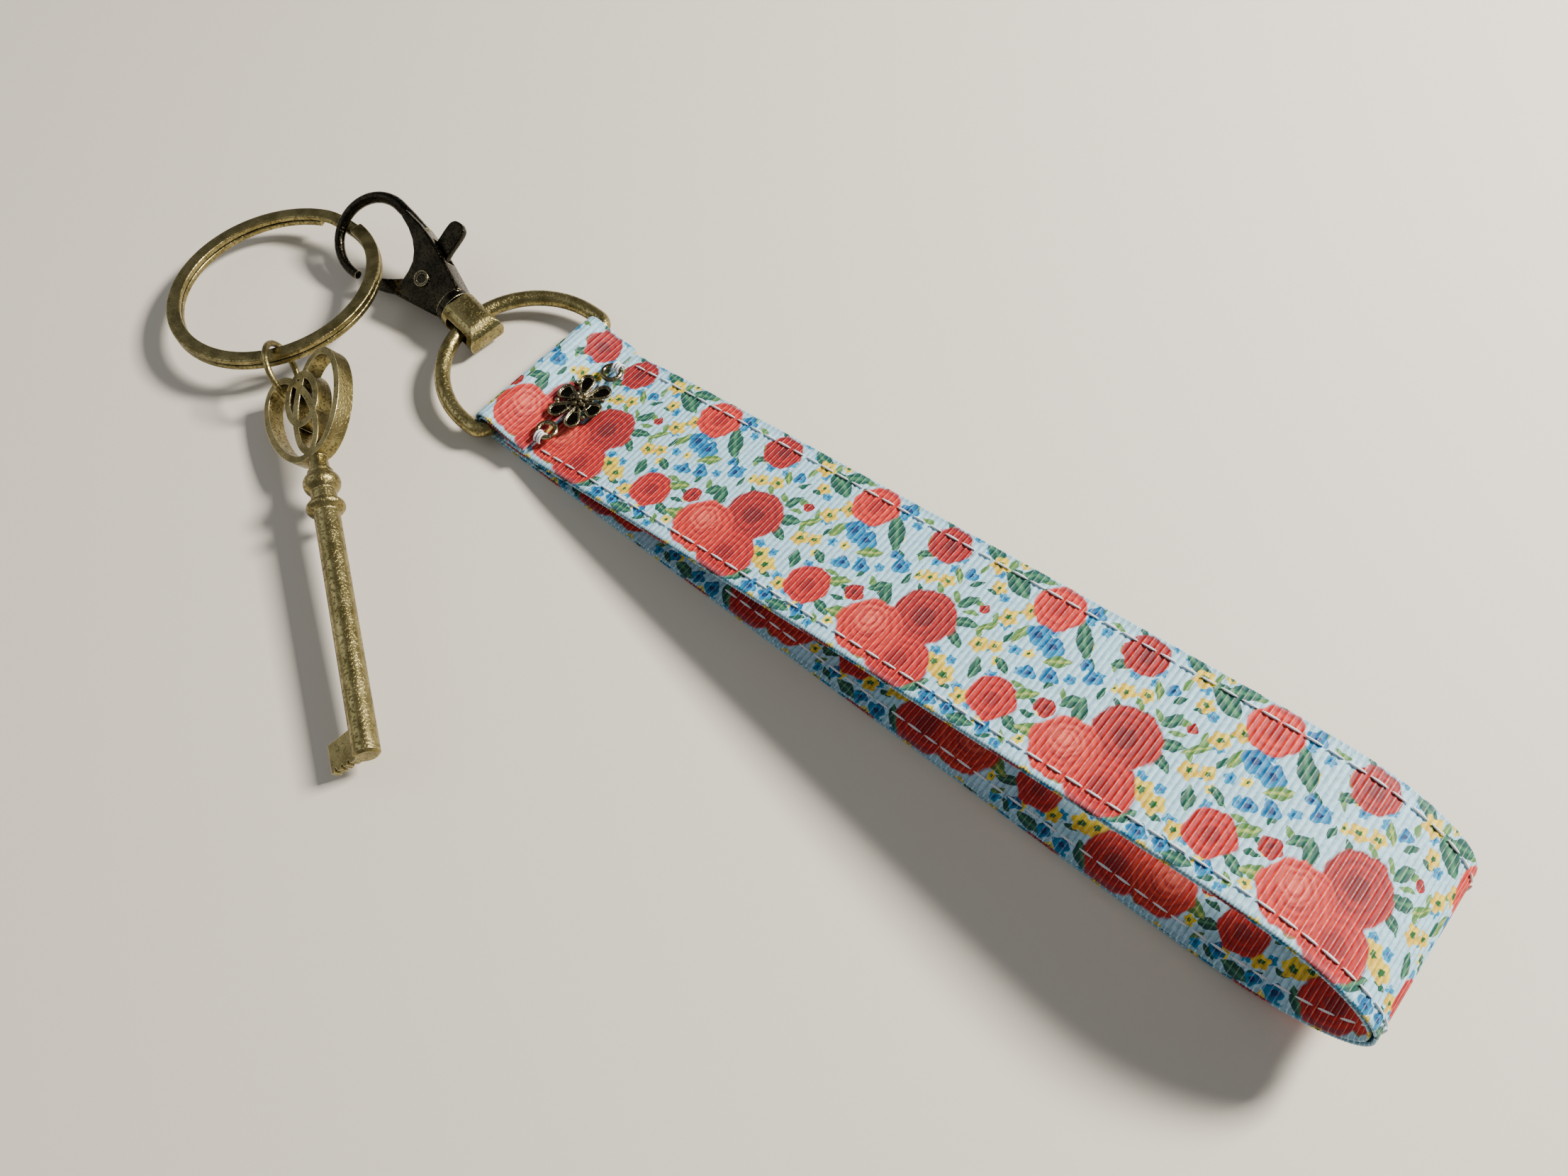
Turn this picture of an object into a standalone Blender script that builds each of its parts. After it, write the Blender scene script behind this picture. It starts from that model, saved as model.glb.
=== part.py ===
"""Wristlet keychain: a sewn ribbon loop, a D-ring, a swivel lobster clasp, a split ring and a key.

Metres, +Z up. The flat underside of the strap lies on z = 0, X runs along the strap from
the hardware to the bend of the loop, and Y runs across it. The origin is the middle of the
strap's flat underside.
"""

from math import asin, cos, hypot, pi, radians, sin

import bmesh
import bpy
from mathutils import Euler, Matrix, Vector

# ---------------------------------------------------------------- driving dimensions
RIBBON_WIDTH = 0.025
RIBBON_THICKNESS = 0.00045
RIBBON_GAP = 0.0003
STACK_HALF = RIBBON_THICKNESS + RIBBON_GAP / 2
RIBBON_OFFSET = (RIBBON_THICKNESS + RIBBON_GAP) / 2

BAR_X = -0.0675
WIRE_RADIUS = 0.00125
FOLD_RADIUS = 0.0021
BAR_Z = STACK_HALF + FOLD_RADIUS
FOLD_STEPS = 14
FLAP_END = (-0.0595, 0.0034)
FLAP_STEP = (-0.0632, 0.0036)

# Side view of the loop, from its flat bottom round the bend to the end under the flap (x, z).
LOOP_ROUTE = (
    (0.0440, STACK_HALF),
    (0.0530, 0.00075),
    (0.0625, 0.0017),
    (0.0695, 0.0038),
    (0.0741, 0.0070),
    (0.0758, 0.0107),
    (0.0742, 0.0145),
    (0.0695, 0.0177),
    (0.0625, 0.0195),
    (0.0540, 0.0194),
    (0.0430, 0.0181),
    (0.0200, 0.0149),
    (-0.0050, 0.0112),
    (-0.0300, 0.0073),
    (-0.0480, 0.0043),
    (-0.0560, 0.0027),
    (-0.0602, 0.0020),
    (-0.0640, 0.0020),
)
ROUTE_STEPS = 4

THREAD_RADIUS = 0.00015
THREAD_INSET = 0.0021
THREAD_OFFSET = STACK_HALF + THREAD_RADIUS + 0.00006
NEEDLE_START_X = -0.0570
NEEDLE_END_Z = 0.0030
BOBBIN_START_X = -0.0500

CHARM_CENTRE = (-0.0587, -0.0009, 0.0043)
CHARM_LOOP_SPAN = 0.0141
CHARM_LOOP_RADIUS = 0.0014
CHARM_WIRE = 0.0004
CHARM_PLATE_THICKNESS = 0.0006
PETAL_LENGTH = 0.0034
PETAL_WIDTH = 0.0023
PETAL_RIM = 0.00025
PETAL_HOLLOW = 0.7
PETAL_REACH = 0.0032
PETAL_ANGLES = (20, 68, 112, 160, 200, 248, 292, 340)

D_HALF_WIDTH = 0.01395
D_SIDE = 0.0030
D_CORNER = 0.0018
APEX_Z = 0.0036
D_TILT = asin((APEX_Z - BAR_Z) / (D_SIDE + D_HALF_WIDTH))

CLASP_HEADING = radians(175)
CLASP_PITCH = radians(8.7)
CLASP_ROLL = radians(-29.3)
EYE_RADIUS = 0.0033
EYE_REAR = -0.0043
EYE_FRONT = 0.0030
EYE_HALF_HEIGHT = 0.00285
EYE_HOLE_REAR = -0.0031
EYE_HOLE_FRONT = 0.00202
EYE_HOLE_HALF_HEIGHT = 0.00165
POST_RADIUS = 0.0009
POST_HEAD_RADIUS = 0.0012
POST_HEAD_FRONT = 0.00188
POST_HEAD_BACK = 0.00142
POST_DEPTH = 0.0060
COLLAR_START = 0.0032
COLLAR_RADIUS = 0.0031
COLLAR_LENGTH = 0.0010
BODY_HALF_THICKNESS = 0.00205
RIVET_AT = (0.0103, 0.0001)
RIVET_RADIUS = 0.0008
RIVET_HEAD_RADIUS = 0.0014
RIVET_HEAD_THICKNESS = 0.0003
HOLE_CLEARANCE = 0.0002
HOOK_CENTRE = (0.0233, 0.0010)
HOOK_RADIUS = 0.0067
HOOK_WIRE_ROOT = 0.0010
HOOK_WIRE_TIP = 0.00075
HOOK_SWEEP = radians(106)
SLOT_LOW = -0.0015
SLOT_HIGH = 0.0011
LEVER_LOW = -0.0013
LEVER_HIGH = -0.0001
GATE_OPENING = radians(12)
SPRING_WIRE = 0.00015
SPRING_RADIUS = 0.0012
SPRING_TURNS = 2

SPLIT_CENTRE = (-0.11365, -0.01545, 0.00515)
SPLIT_SLOPE = (0.098, 0.005)
SPLIT_OUTER_RADIUS = 0.0175
SPLIT_BAND = 0.0022
SPLIT_LAYER = 0.0009
SPLIT_PITCH = 0.00104
SPLIT_START = 113
SPLIT_STEP_START = 447
SPLIT_STEP_END = 471
SPLIT_END = 805
SPLIT_DEGREES_PER_POINT = 7

JUMP_WIRE = 0.0005
JUMP_RADIUS = 0.0045
JUMP_CENTRE = (-0.09863, -0.02605, 0.00515)
JUMP_AXIS = (0.592, 0.766, 0.252)

KEY_NECK = (-0.07988, -0.03402, 0.00625)
KEY_HEADING = radians(147.2)
KEY_PITCH = radians(1.7)
KEY_ROLL = radians(-31.5)
OVAL_CENTRE = (0.0092, 0.0028)
OVAL_AXES = (0.0084, 0.00435)
OVAL_TILT = radians(16.4)
RING_CENTRE = (0.0114, 0.0)
RING_AXES = (0.0044, 0.0030)
BOW_WALL = 0.0011
BOW_HEIGHT = 0.0027
SHANK_RADIUS = 0.00185
SHANK_END = -0.0483
BEADS = ((-0.0041, 0.0027, 0.0021), (-0.0084, 0.0028, 0.0013))
BIT_SPAN = (-0.0482, -0.0434)
BIT_REACH = 0.0060
BIT_THICKNESS = 0.0013
BIT_NOTCHES = (0.0028, 0.0040, 0.0052)
BIT_NOTCH = 0.0007

OLIVE_BRASS = ((0.30, 0.26, 0.12, 1.0), 0.42, 1.0)
DARK_BRONZE = ((0.045, 0.038, 0.026, 1.0), 0.38, 1.0)
SPRING_STEEL = ((0.45, 0.44, 0.40, 1.0), 0.35, 1.0)
PRINTED_RIBBON = ((0.45, 0.66, 0.80, 1.0), 0.75, 0.0)
PLAIN_THREAD = ((0.85, 0.87, 0.88, 1.0), 0.85, 0.0)


# ---------------------------------------------------------------- scene and object helpers
def clear_scene():
    """Remove every object of the scene."""
    for obj in list(bpy.data.objects):
        bpy.data.objects.remove(obj, do_unlink=True)


def collection(name):
    """A new collection in the scene."""
    made = bpy.data.collections.new(name)
    bpy.context.scene.collection.children.link(made)
    return made


def material(name, finish):
    """A Principled material from (colour, roughness, metallic)."""
    colour, roughness, metallic = finish
    made = bpy.data.materials.new(name)
    made.use_nodes = True
    shader = made.node_tree.nodes["Principled BSDF"]
    shader.inputs["Base Color"].default_value = colour
    shader.inputs["Roughness"].default_value = roughness
    shader.inputs["Metallic"].default_value = metallic
    made.diffuse_color = colour
    return made


def add_mesh(name, mesh, finish, where=None):
    """Link a mesh as a named part with its own material, placed by a matrix."""
    obj = bpy.data.objects.new(name, mesh)
    PARTS.objects.link(obj)
    obj.matrix_world = where or Matrix()
    mesh.materials.clear()
    mesh.materials.append(material(name, finish))
    mesh.shade_smooth()
    mesh.set_sharp_from_angle(angle=radians(40))
    return obj


def curve_mesh(curve):
    """Turn curve data into a mesh whose caps are welded to its sides."""
    helper = bpy.data.objects.new("helper", curve)
    CUTTERS.objects.link(helper)
    bpy.context.view_layer.update()
    graph = bpy.context.evaluated_depsgraph_get()
    mesh = bpy.data.meshes.new_from_object(helper.evaluated_get(graph))
    bpy.data.objects.remove(helper)
    shape = bmesh.new()
    shape.from_mesh(mesh)
    bmesh.ops.remove_doubles(shape, verts=shape.verts, dist=0.000002)
    bmesh.ops.recalc_face_normals(shape, faces=shape.faces)
    shape.to_mesh(mesh)
    shape.free()
    return mesh


def tube_mesh(points, radius, cyclic=False, resolution=2, radii=None, profile=None):
    """A tube along 3D points, round or with a profile curve as its section."""
    curve = bpy.data.curves.new("tube", "CURVE")
    curve.dimensions = "3D"
    curve.twist_mode = "Z_UP" if profile else "MINIMUM"
    curve.use_fill_caps = True
    if profile:
        curve.bevel_mode = "OBJECT"
        curve.bevel_object = profile
    else:
        curve.bevel_depth = radius
        curve.bevel_resolution = resolution
    spline = curve.splines.new("POLY")
    spline.points.add(len(points) - 1)
    for index, place in enumerate(points):
        spline.points[index].co = (*place, 1.0)
        spline.points[index].radius = radii[index] if radii else 1.0
    spline.use_cyclic_u = cyclic
    return curve_mesh(curve)


def slab_mesh(outlines, low, high):
    """A flat plate between two heights, from one outer outline and any inner ones."""
    curve = bpy.data.curves.new("slab", "CURVE")
    curve.dimensions = "2D"
    curve.fill_mode = "BOTH"
    curve.extrude = (high - low) / 2
    for outline in outlines:
        spline = curve.splines.new("POLY")
        spline.points.add(len(outline) - 1)
        for index, place in enumerate(outline):
            spline.points[index].co = (place[0], place[1], 0.0, 1.0)
        spline.use_cyclic_u = True
    mesh = curve_mesh(curve)
    mesh.transform(Matrix.Translation((0, 0, (high + low) / 2)))
    return mesh


def cylinder_mesh(radius, start, end, segments=24, axis="X"):
    """A cylinder about an axis through the origin, between two places on it."""
    shape = bmesh.new()
    bmesh.ops.create_cone(
        shape,
        cap_ends=True,
        segments=segments,
        radius1=radius,
        radius2=radius,
        depth=end - start,
    )
    mesh = bpy.data.meshes.new("cylinder")
    shape.to_mesh(mesh)
    shape.free()
    mesh.transform(Matrix.Translation((0, 0, (start + end) / 2)))
    if axis == "X":
        mesh.transform(Matrix.Rotation(pi / 2, 4, "Y"))
    return mesh


def sphere_mesh(radius, centre, segments=12, rings=8, flatten=1.0):
    """A sphere at a centre, its height scaled by flatten."""
    shape = bmesh.new()
    bmesh.ops.create_uvsphere(shape, u_segments=segments, v_segments=rings, radius=radius)
    mesh = bpy.data.meshes.new("sphere")
    shape.to_mesh(mesh)
    shape.free()
    mesh.transform(Matrix.Diagonal((1, 1, flatten, 1)))
    mesh.transform(Matrix.Translation(centre))
    return mesh


def turned_mesh(profile, segments=18):
    """A shape turned about X from (x, radius) pairs, whose first and last radius is 0."""
    curve = bpy.data.meshes.new("profile")
    curve.from_pydata(
        [(radius, 0.0, place) for place, radius in profile],
        [(i, i + 1) for i in range(len(profile) - 1)],
        [],
    )
    helper = bpy.data.objects.new("turning", curve)
    CUTTERS.objects.link(helper)
    screw = helper.modifiers.new("turn", "SCREW")
    screw.axis = "Z"
    screw.steps = segments
    screw.render_steps = segments
    screw.use_merge_vertices = True
    screw.merge_threshold = 0.00001
    bpy.context.view_layer.update()
    graph = bpy.context.evaluated_depsgraph_get()
    mesh = bpy.data.meshes.new_from_object(helper.evaluated_get(graph))
    bpy.data.objects.remove(helper)
    shape = bmesh.new()
    shape.from_mesh(mesh)
    bmesh.ops.remove_doubles(shape, verts=shape.verts, dist=0.000002)
    bmesh.ops.recalc_face_normals(shape, faces=shape.faces)
    shape.to_mesh(mesh)
    shape.free()
    mesh.transform(Matrix.Rotation(pi / 2, 4, "Y"))
    return mesh


def combined(first, steps):
    """Apply (operation, mesh) Boolean steps to a mesh, in order, and return the result."""
    body = bpy.data.objects.new("body", first)
    CUTTERS.objects.link(body)
    tools = []
    for operation, mesh in steps:
        tool = bpy.data.objects.new("tool", mesh)
        tool.hide_render = True
        tool.display_type = "WIRE"
        CUTTERS.objects.link(tool)
        tools.append(tool)
        step = body.modifiers.new("step", "BOOLEAN")
        step.operation = operation
        step.solver = "EXACT"
        step.object = tool
    bpy.context.view_layer.update()
    graph = bpy.context.evaluated_depsgraph_get()
    mesh = bpy.data.meshes.new_from_object(body.evaluated_get(graph))
    for obj in (body, *tools):
        bpy.data.objects.remove(obj)
    return mesh


def placed(origin, heading, pitch, roll):
    """A frame at an origin: turned by heading, then tipped up by pitch, then rolled about its X."""
    turn = Euler((roll, -pitch, heading), "XYZ").to_matrix().to_4x4()
    return Matrix.Translation(origin) @ turn


def ellipse(centre, axes, tilt, points=28):
    """Points of a tilted ellipse in a plane."""
    made = []
    for index in range(points):
        angle = 2 * pi * index / points
        along = axes[0] * cos(angle)
        across = axes[1] * sin(angle)
        x = centre[0] + along * cos(tilt) - across * sin(tilt)
        y = centre[1] + along * sin(tilt) + across * cos(tilt)
        made.append((x, y))
    return made


# ---------------------------------------------------------------- the strap
def route_between(before, start, end, after, steps):
    """Catmull-Rom points from start up to, but not including, end."""
    made = []
    for index in range(steps):
        t = index / steps
        place = []
        for a, b, c, d in zip(before, start, end, after):
            cubic = 3 * b - a - 3 * c + d
            square = 2 * a - 5 * b + 4 * c - d
            place.append((2 * b + (c - a) * t + square * t * t + cubic * t**3) / 2)
        made.append(tuple(place))
    return made


def strap_route():
    """Side view of the middle of the two ribbons, from the flap's end to the other end (x, z)."""
    route = [FLAP_END, ((FLAP_END[0] + FLAP_STEP[0]) / 2, FLAP_END[1]), FLAP_STEP]
    for index in range(FOLD_STEPS + 1):
        angle = pi / 2 + pi * index / FOLD_STEPS
        route.append((BAR_X + FOLD_RADIUS * cos(angle), BAR_Z + FOLD_RADIUS * sin(angle)))
    for x in (-0.050, -0.020, 0.010, 0.030):
        route.append((x, STACK_HALF))
    ends = ((0.030, STACK_HALF), *LOOP_ROUTE, (-0.068, LOOP_ROUTE[-1][1]))
    for index in range(1, len(ends) - 2):
        route += route_between(*ends[index - 1 : index + 3], ROUTE_STEPS)
    route.append(LOOP_ROUTE[-1])
    return route


def beside(route, distance):
    """The route moved outwards from the loop by a distance."""
    made = []
    for index, (x, z) in enumerate(route):
        x0, z0 = route[max(index - 1, 0)]
        x1, z1 = route[min(index + 1, len(route) - 1)]
        length = hypot(x1 - x0, z1 - z0)
        made.append((x + distance * (z1 - z0) / length, z - distance * (x1 - x0) / length))
    return made


def make_ribbon(name, offset):
    """One ribbon of the strap: its side view, given a thickness and drawn out to its width."""
    outer = beside(strap_route(), offset + RIBBON_THICKNESS / 2)
    inner = beside(strap_route(), offset - RIBBON_THICKNESS / 2)
    mesh = slab_mesh([outer + inner[::-1]], -RIBBON_WIDTH / 2, RIBBON_WIDTH / 2)
    mesh.transform(Matrix.Rotation(pi / 2, 4, "X"))
    add_mesh(name, mesh, PRINTED_RIBBON)


def make_threads():
    """The edge stitching: needle threads on the outside of the loop, bobbin threads inside it."""
    route = strap_route()
    first = next(i for i, (x, z) in enumerate(route) if x > 0.040)
    loop = route[first:]
    needle = [
        place
        for place in beside(loop, THREAD_OFFSET)
        if place[1] > NEEDLE_END_Z and place[0] > NEEDLE_START_X
    ]
    floor = [(BOBBIN_START_X, STACK_HALF + THREAD_OFFSET), (0.0, STACK_HALF + THREAD_OFFSET)]
    bobbin = floor + [
        place for place in beside(loop, -THREAD_OFFSET) if place[0] > BOBBIN_START_X
    ]
    for side, y in (("left", -1), ("right", 1)):
        across = y * (RIBBON_WIDTH / 2 - THREAD_INSET)
        for name, line in (("needle_thread", needle), ("bobbin_thread", bobbin)):
            points = [(x, across, z) for x, z in line]
            mesh = tube_mesh(points, THREAD_RADIUS, resolution=0)
            add_mesh(f"{name}_{side}", mesh, PLAIN_THREAD)


# ---------------------------------------------------------------- the charm
def petal_outline(angle, scale):
    """A teardrop whose point is at the middle of the charm, scaled about its own middle."""
    points = []
    for index in range(12):
        turn = 2 * pi * index / 12
        along = PETAL_REACH + scale * PETAL_LENGTH / 2 * cos(turn)
        taper = 0.62 + 0.38 * cos(turn)
        across = scale * PETAL_WIDTH / 2 * sin(turn) * taper
        x = along * cos(angle) - across * sin(angle)
        y = along * sin(angle) + across * cos(angle)
        points.append((1.28 * x, 0.86 * y))
    return points


def petal(angle):
    """A raised rim round a teardrop."""
    outlines = [petal_outline(angle, 1.0), petal_outline(angle, PETAL_HOLLOW)]
    low = CHARM_PLATE_THICKNESS - PETAL_RIM
    return slab_mesh(outlines, low, CHARM_PLATE_THICKNESS + PETAL_RIM)


def make_charm():
    """The cast filigree connector: petals round a domed centre, with a loop at each end."""
    plate = ellipse((0, 0), (0.0062, 0.0036), 0, 24)
    base = slab_mesh([plate], 0, CHARM_PLATE_THICKNESS)
    steps = [("UNION", sphere_mesh(0.0016, (0, 0, CHARM_PLATE_THICKNESS), flatten=0.36))]
    for angle in PETAL_ANGLES:
        steps.append(("UNION", petal(radians(angle))))
    for side in (-1, 1):
        middle = side * CHARM_LOOP_SPAN / 2
        ring = [
            (middle + CHARM_LOOP_RADIUS * cos(a), CHARM_LOOP_RADIUS * sin(a), CHARM_WIRE)
            for a in (2 * pi * i / 14 for i in range(14))
        ]
        steps.append(("UNION", tube_mesh(ring, CHARM_WIRE, cyclic=True, resolution=1)))
    mesh = combined(base, steps)
    where = Matrix.Translation(CHARM_CENTRE) @ Matrix.Rotation(pi / 2, 4, "Z")
    add_mesh("charm", mesh, DARK_BRONZE, where)
    for name, side in (("left", -1), ("right", 1)):
        middle = CHARM_CENTRE[1] + side * (CHARM_LOOP_SPAN / 2 + CHARM_LOOP_RADIUS)
        rise = 0.0011
        points = []
        for index in range(9):
            angle = pi * index / 8
            lift = CHARM_CENTRE[2] - 0.0001 + rise * sin(angle)
            points.append((CHARM_CENTRE[0], middle + 0.00075 * cos(angle), lift))
        mesh = tube_mesh(points, THREAD_RADIUS, resolution=0)
        add_mesh(f"charm_stitch_{name}", mesh, PLAIN_THREAD)


# ---------------------------------------------------------------- the D-ring
def d_ring_frame():
    """At the bar, X pointing out to the round side."""
    return placed((BAR_X, 0, BAR_Z), pi, D_TILT, 0)


def make_d_ring():
    """A round wire bent to a D: a straight bar in the fold and a half circle outside it."""
    points = []
    inner = D_HALF_WIDTH - D_CORNER
    for index in range(5):
        angle = pi + pi / 2 * index / 4
        points.append((D_CORNER + D_CORNER * cos(angle), -inner + D_CORNER * sin(angle), 0))
    for index in range(27):
        angle = -pi / 2 + pi * index / 26
        points.append((D_SIDE + D_HALF_WIDTH * cos(angle), D_HALF_WIDTH * sin(angle), 0))
    for index in range(5):
        angle = pi / 2 + pi / 2 * index / 4
        points.append((D_CORNER + D_CORNER * cos(angle), inner + D_CORNER * sin(angle), 0))
    mesh = tube_mesh(points, WIRE_RADIUS, cyclic=True, resolution=2)
    add_mesh("d_ring", mesh, OLIVE_BRASS, d_ring_frame())


# ---------------------------------------------------------------- the swivel clasp
def clasp_frame(roll):
    """At the D-ring's wire, X pointing out along the clasp and Y to the side of its gate."""
    origin = d_ring_frame() @ Vector((D_SIDE + D_HALF_WIDTH, 0, 0))
    return placed(origin, CLASP_HEADING, CLASP_PITCH, roll)


def rounded_box(low, high, half_height, corner, points=5):
    """Outline of a box from low to high and plus or minus half_height, with round corners."""
    made = []
    for middle_x, middle_y, start in (
        (high - corner, half_height - corner, 0),
        (low + corner, half_height - corner, 90),
        (low + corner, corner - half_height, 180),
        (high - corner, corner - half_height, 270),
    ):
        for index in range(points):
            angle = radians(start + 90 * index / (points - 1))
            made.append((middle_x + corner * cos(angle), middle_y + corner * sin(angle)))
    return made


def make_swivel_eye():
    """The stirrup that hangs on the D-ring: a round shell, open from side to side."""
    shell = cylinder_mesh(EYE_RADIUS, EYE_REAR, EYE_FRONT, 28)
    outline = rounded_box(EYE_REAR - 0.0002, EYE_FRONT + 0.002, EYE_HALF_HEIGHT, 0.0024)
    keep = slab_mesh([outline], -0.005, 0.005)
    keep.transform(Matrix.Rotation(pi / 2, 4, "X"))
    hole = rounded_box(EYE_HOLE_REAR, EYE_HOLE_FRONT, EYE_HOLE_HALF_HEIGHT, 0.0006)
    tunnel = slab_mesh([hole], -0.005, 0.005)
    tunnel.transform(Matrix.Rotation(pi / 2, 4, "X"))
    bore = cylinder_mesh(POST_RADIUS + HOLE_CLEARANCE, 0.001, 0.006, 16)
    steps = (("INTERSECT", keep), ("DIFFERENCE", tunnel), ("DIFFERENCE", bore))
    add_mesh("swivel_eye", combined(shell, steps), OLIVE_BRASS, clasp_frame(0))


def make_swivel_post():
    """The pin that the eye turns on, its head inside the eye and its foot in the clasp's body."""
    profile = (
        (POST_HEAD_BACK, 0.0),
        (POST_HEAD_BACK, POST_HEAD_RADIUS - 0.0003),
        (POST_HEAD_BACK + 0.0002, POST_HEAD_RADIUS),
        (POST_HEAD_FRONT, POST_HEAD_RADIUS),
        (POST_HEAD_FRONT, POST_RADIUS),
        (POST_DEPTH, POST_RADIUS),
        (POST_DEPTH, 0.0),
    )
    add_mesh("swivel_post", turned_mesh(profile, 16), OLIVE_BRASS, clasp_frame(CLASP_ROLL))


def body_outline():
    """Plan of the clasp's body and waist: narrow at the collar, wide at the gate."""
    return [
        (0.0041, -0.0029),
        (0.0090, -0.0044),
        (0.0136, -0.0056),
        (0.0168, -0.0061),
        (0.0205, -0.0062),
        (0.0205, -0.0049),
        (0.0182, -0.0043),
        (0.0163, -0.0034),
        (0.0148, -0.0022),
        (0.0138, -0.0009),
        (0.0133, 0.0008),
        (0.0131, 0.0026),
        (0.0131, 0.0044),
        (0.0124, 0.0051),
        (0.0041, 0.0029),
    ]


def hook_points():
    """Centre line of the hook, from the waist round to its tip, with a radius for each point."""
    points = [(0.0165, -0.0053, 0), (0.0200, -0.0056, 0)]
    for index in range(19):
        angle = -pi / 2 + (pi / 2 + HOOK_SWEEP) * index / 18
        x = HOOK_CENTRE[0] + HOOK_RADIUS * cos(angle)
        points.append((x, HOOK_CENTRE[1] + HOOK_RADIUS * sin(angle), 0))
    last = len(points) - 1
    narrowing = HOOK_WIRE_TIP / HOOK_WIRE_ROOT - 1
    radii = [1 + narrowing * index / last for index in range(last + 1)]
    return points, radii


def swept(outline, pivot, turn, steps):
    """Slab outlines of a shape at several angles on its way round a pivot."""
    made = []
    for index in range(steps + 1):
        angle = turn * index / steps
        made.append(
            [
                (
                    pivot[0] + (x - pivot[0]) * cos(angle) - (y - pivot[1]) * sin(angle),
                    pivot[1] + (x - pivot[0]) * sin(angle) + (y - pivot[1]) * cos(angle),
                )
                for x, y in outline
            ]
        )
    return made


def lever_outline(grow=0.0):
    """Plan of the gate and thumb lever in one piece, round the rivet."""
    g = grow
    return [
        (0.0086 - g, 0.0018 + g),
        (0.0084 - g, -0.0010),
        (0.0106 - g, -0.0045),
        (0.0109 - g, -0.0090),
        (0.0113 - g, -0.0100 - g),
        (0.0124, -0.0105 - g),
        (0.0137 + g, -0.0102 - g),
        (0.0143 + g, -0.0092),
        (0.0138 + g, -0.0045),
        (0.0124 + g, -0.0012),
        (0.0124 + g, 0.0005 - g),
        (0.0160, 0.0040 - g),
        (0.0205 + g, 0.0068 - g),
        (0.0202 + g, 0.0081 + g),
        (0.0150, 0.0062 + g),
        (0.0105, 0.0029 + g),
    ]


def make_clasp_body():
    """The cast body with its collar, waist and hook, slotted for the lever."""
    plate = slab_mesh([body_outline()], -BODY_HALF_THICKNESS, BODY_HALF_THICKNESS)
    collar_end = COLLAR_START + COLLAR_LENGTH
    collar = cylinder_mesh(COLLAR_RADIUS, COLLAR_START, collar_end + 0.0004, 24)
    points, radii = hook_points()
    hook = tube_mesh(points, HOOK_WIRE_ROOT, resolution=2, radii=radii)
    socket = cylinder_mesh(POST_RADIUS + HOLE_CLEARANCE, 0.002, POST_DEPTH + 0.0003, 16)
    rivet_hole = cylinder_mesh(RIVET_RADIUS + HOLE_CLEARANCE, -0.01, 0.01, 16, axis="Z")
    rivet_hole.transform(Matrix.Translation((*RIVET_AT, 0)))
    steps = [("UNION", collar), ("UNION", hook)]
    for outline in swept(lever_outline(0.0003), RIVET_AT, -GATE_OPENING, 3):
        steps.append(("DIFFERENCE", slab_mesh([outline], SLOT_LOW, SLOT_HIGH)))
    steps += [("DIFFERENCE", socket), ("DIFFERENCE", rivet_hole)]
    add_mesh("clasp_body", combined(plate, steps), DARK_BRONZE, clasp_frame(CLASP_ROLL))


def make_gate_lever():
    """The gate and its thumb lever, bored for the rivet."""
    blank = slab_mesh([lever_outline()], LEVER_LOW, LEVER_HIGH)
    bore = cylinder_mesh(RIVET_RADIUS + HOLE_CLEARANCE, -0.01, 0.01, 16, axis="Z")
    bore.transform(Matrix.Translation((*RIVET_AT, 0)))
    mesh = combined(blank, [("DIFFERENCE", bore)])
    mesh.transform(Matrix.Translation((-RIVET_AT[0], -RIVET_AT[1], 0)))
    where = clasp_frame(CLASP_ROLL) @ Matrix.Translation((*RIVET_AT, 0))
    add_mesh("gate_lever", mesh, DARK_BRONZE, where)


def make_lever_rivet():
    """The rivet through both cheeks of the body, with a flat head on each."""
    face = BODY_HALF_THICKNESS + 0.00005
    top = face + RIVET_HEAD_THICKNESS
    profile = (
        (-top, 0.0),
        (-top, RIVET_HEAD_RADIUS - 0.0002),
        (-face, RIVET_HEAD_RADIUS),
        (-face, RIVET_RADIUS),
        (face, RIVET_RADIUS),
        (face, RIVET_HEAD_RADIUS),
        (top, RIVET_HEAD_RADIUS - 0.0002),
        (top, 0.0),
    )
    mesh = turned_mesh(profile, 20)
    mesh.transform(Matrix.Rotation(-pi / 2, 4, "Y"))
    where = clasp_frame(CLASP_ROLL) @ Matrix.Translation((*RIVET_AT, 0))
    add_mesh("lever_rivet", mesh, OLIVE_BRASS, where)


def make_lever_spring():
    """The torsion spring that closes the gate: turns round the rivet and two straight legs."""
    low = LEVER_HIGH + 0.00028
    rise = 0.00036
    points = [(0.0026, -0.0026, low), (0.0014, -0.0016, low)]
    count = SPRING_TURNS * 12
    for index in range(count + 1):
        angle = -pi / 4 + 2 * pi * SPRING_TURNS * index / count
        height = low + rise * index / count
        points.append((SPRING_RADIUS * cos(angle), SPRING_RADIUS * sin(angle), height))
    points.append((0.0026, 0.0006, low + rise))
    mesh = tube_mesh(points, SPRING_WIRE, resolution=0)
    where = clasp_frame(CLASP_ROLL) @ Matrix.Translation((*RIVET_AT, 0))
    add_mesh("lever_spring", mesh, SPRING_STEEL, where)


# ---------------------------------------------------------------- the rings
def facing(origin, normal):
    """A frame at an origin, its Z along a normal."""
    turn = Vector((0, 0, 1)).rotation_difference(Vector(normal)).to_matrix().to_4x4()
    return Matrix.Translation(origin) @ turn


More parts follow.
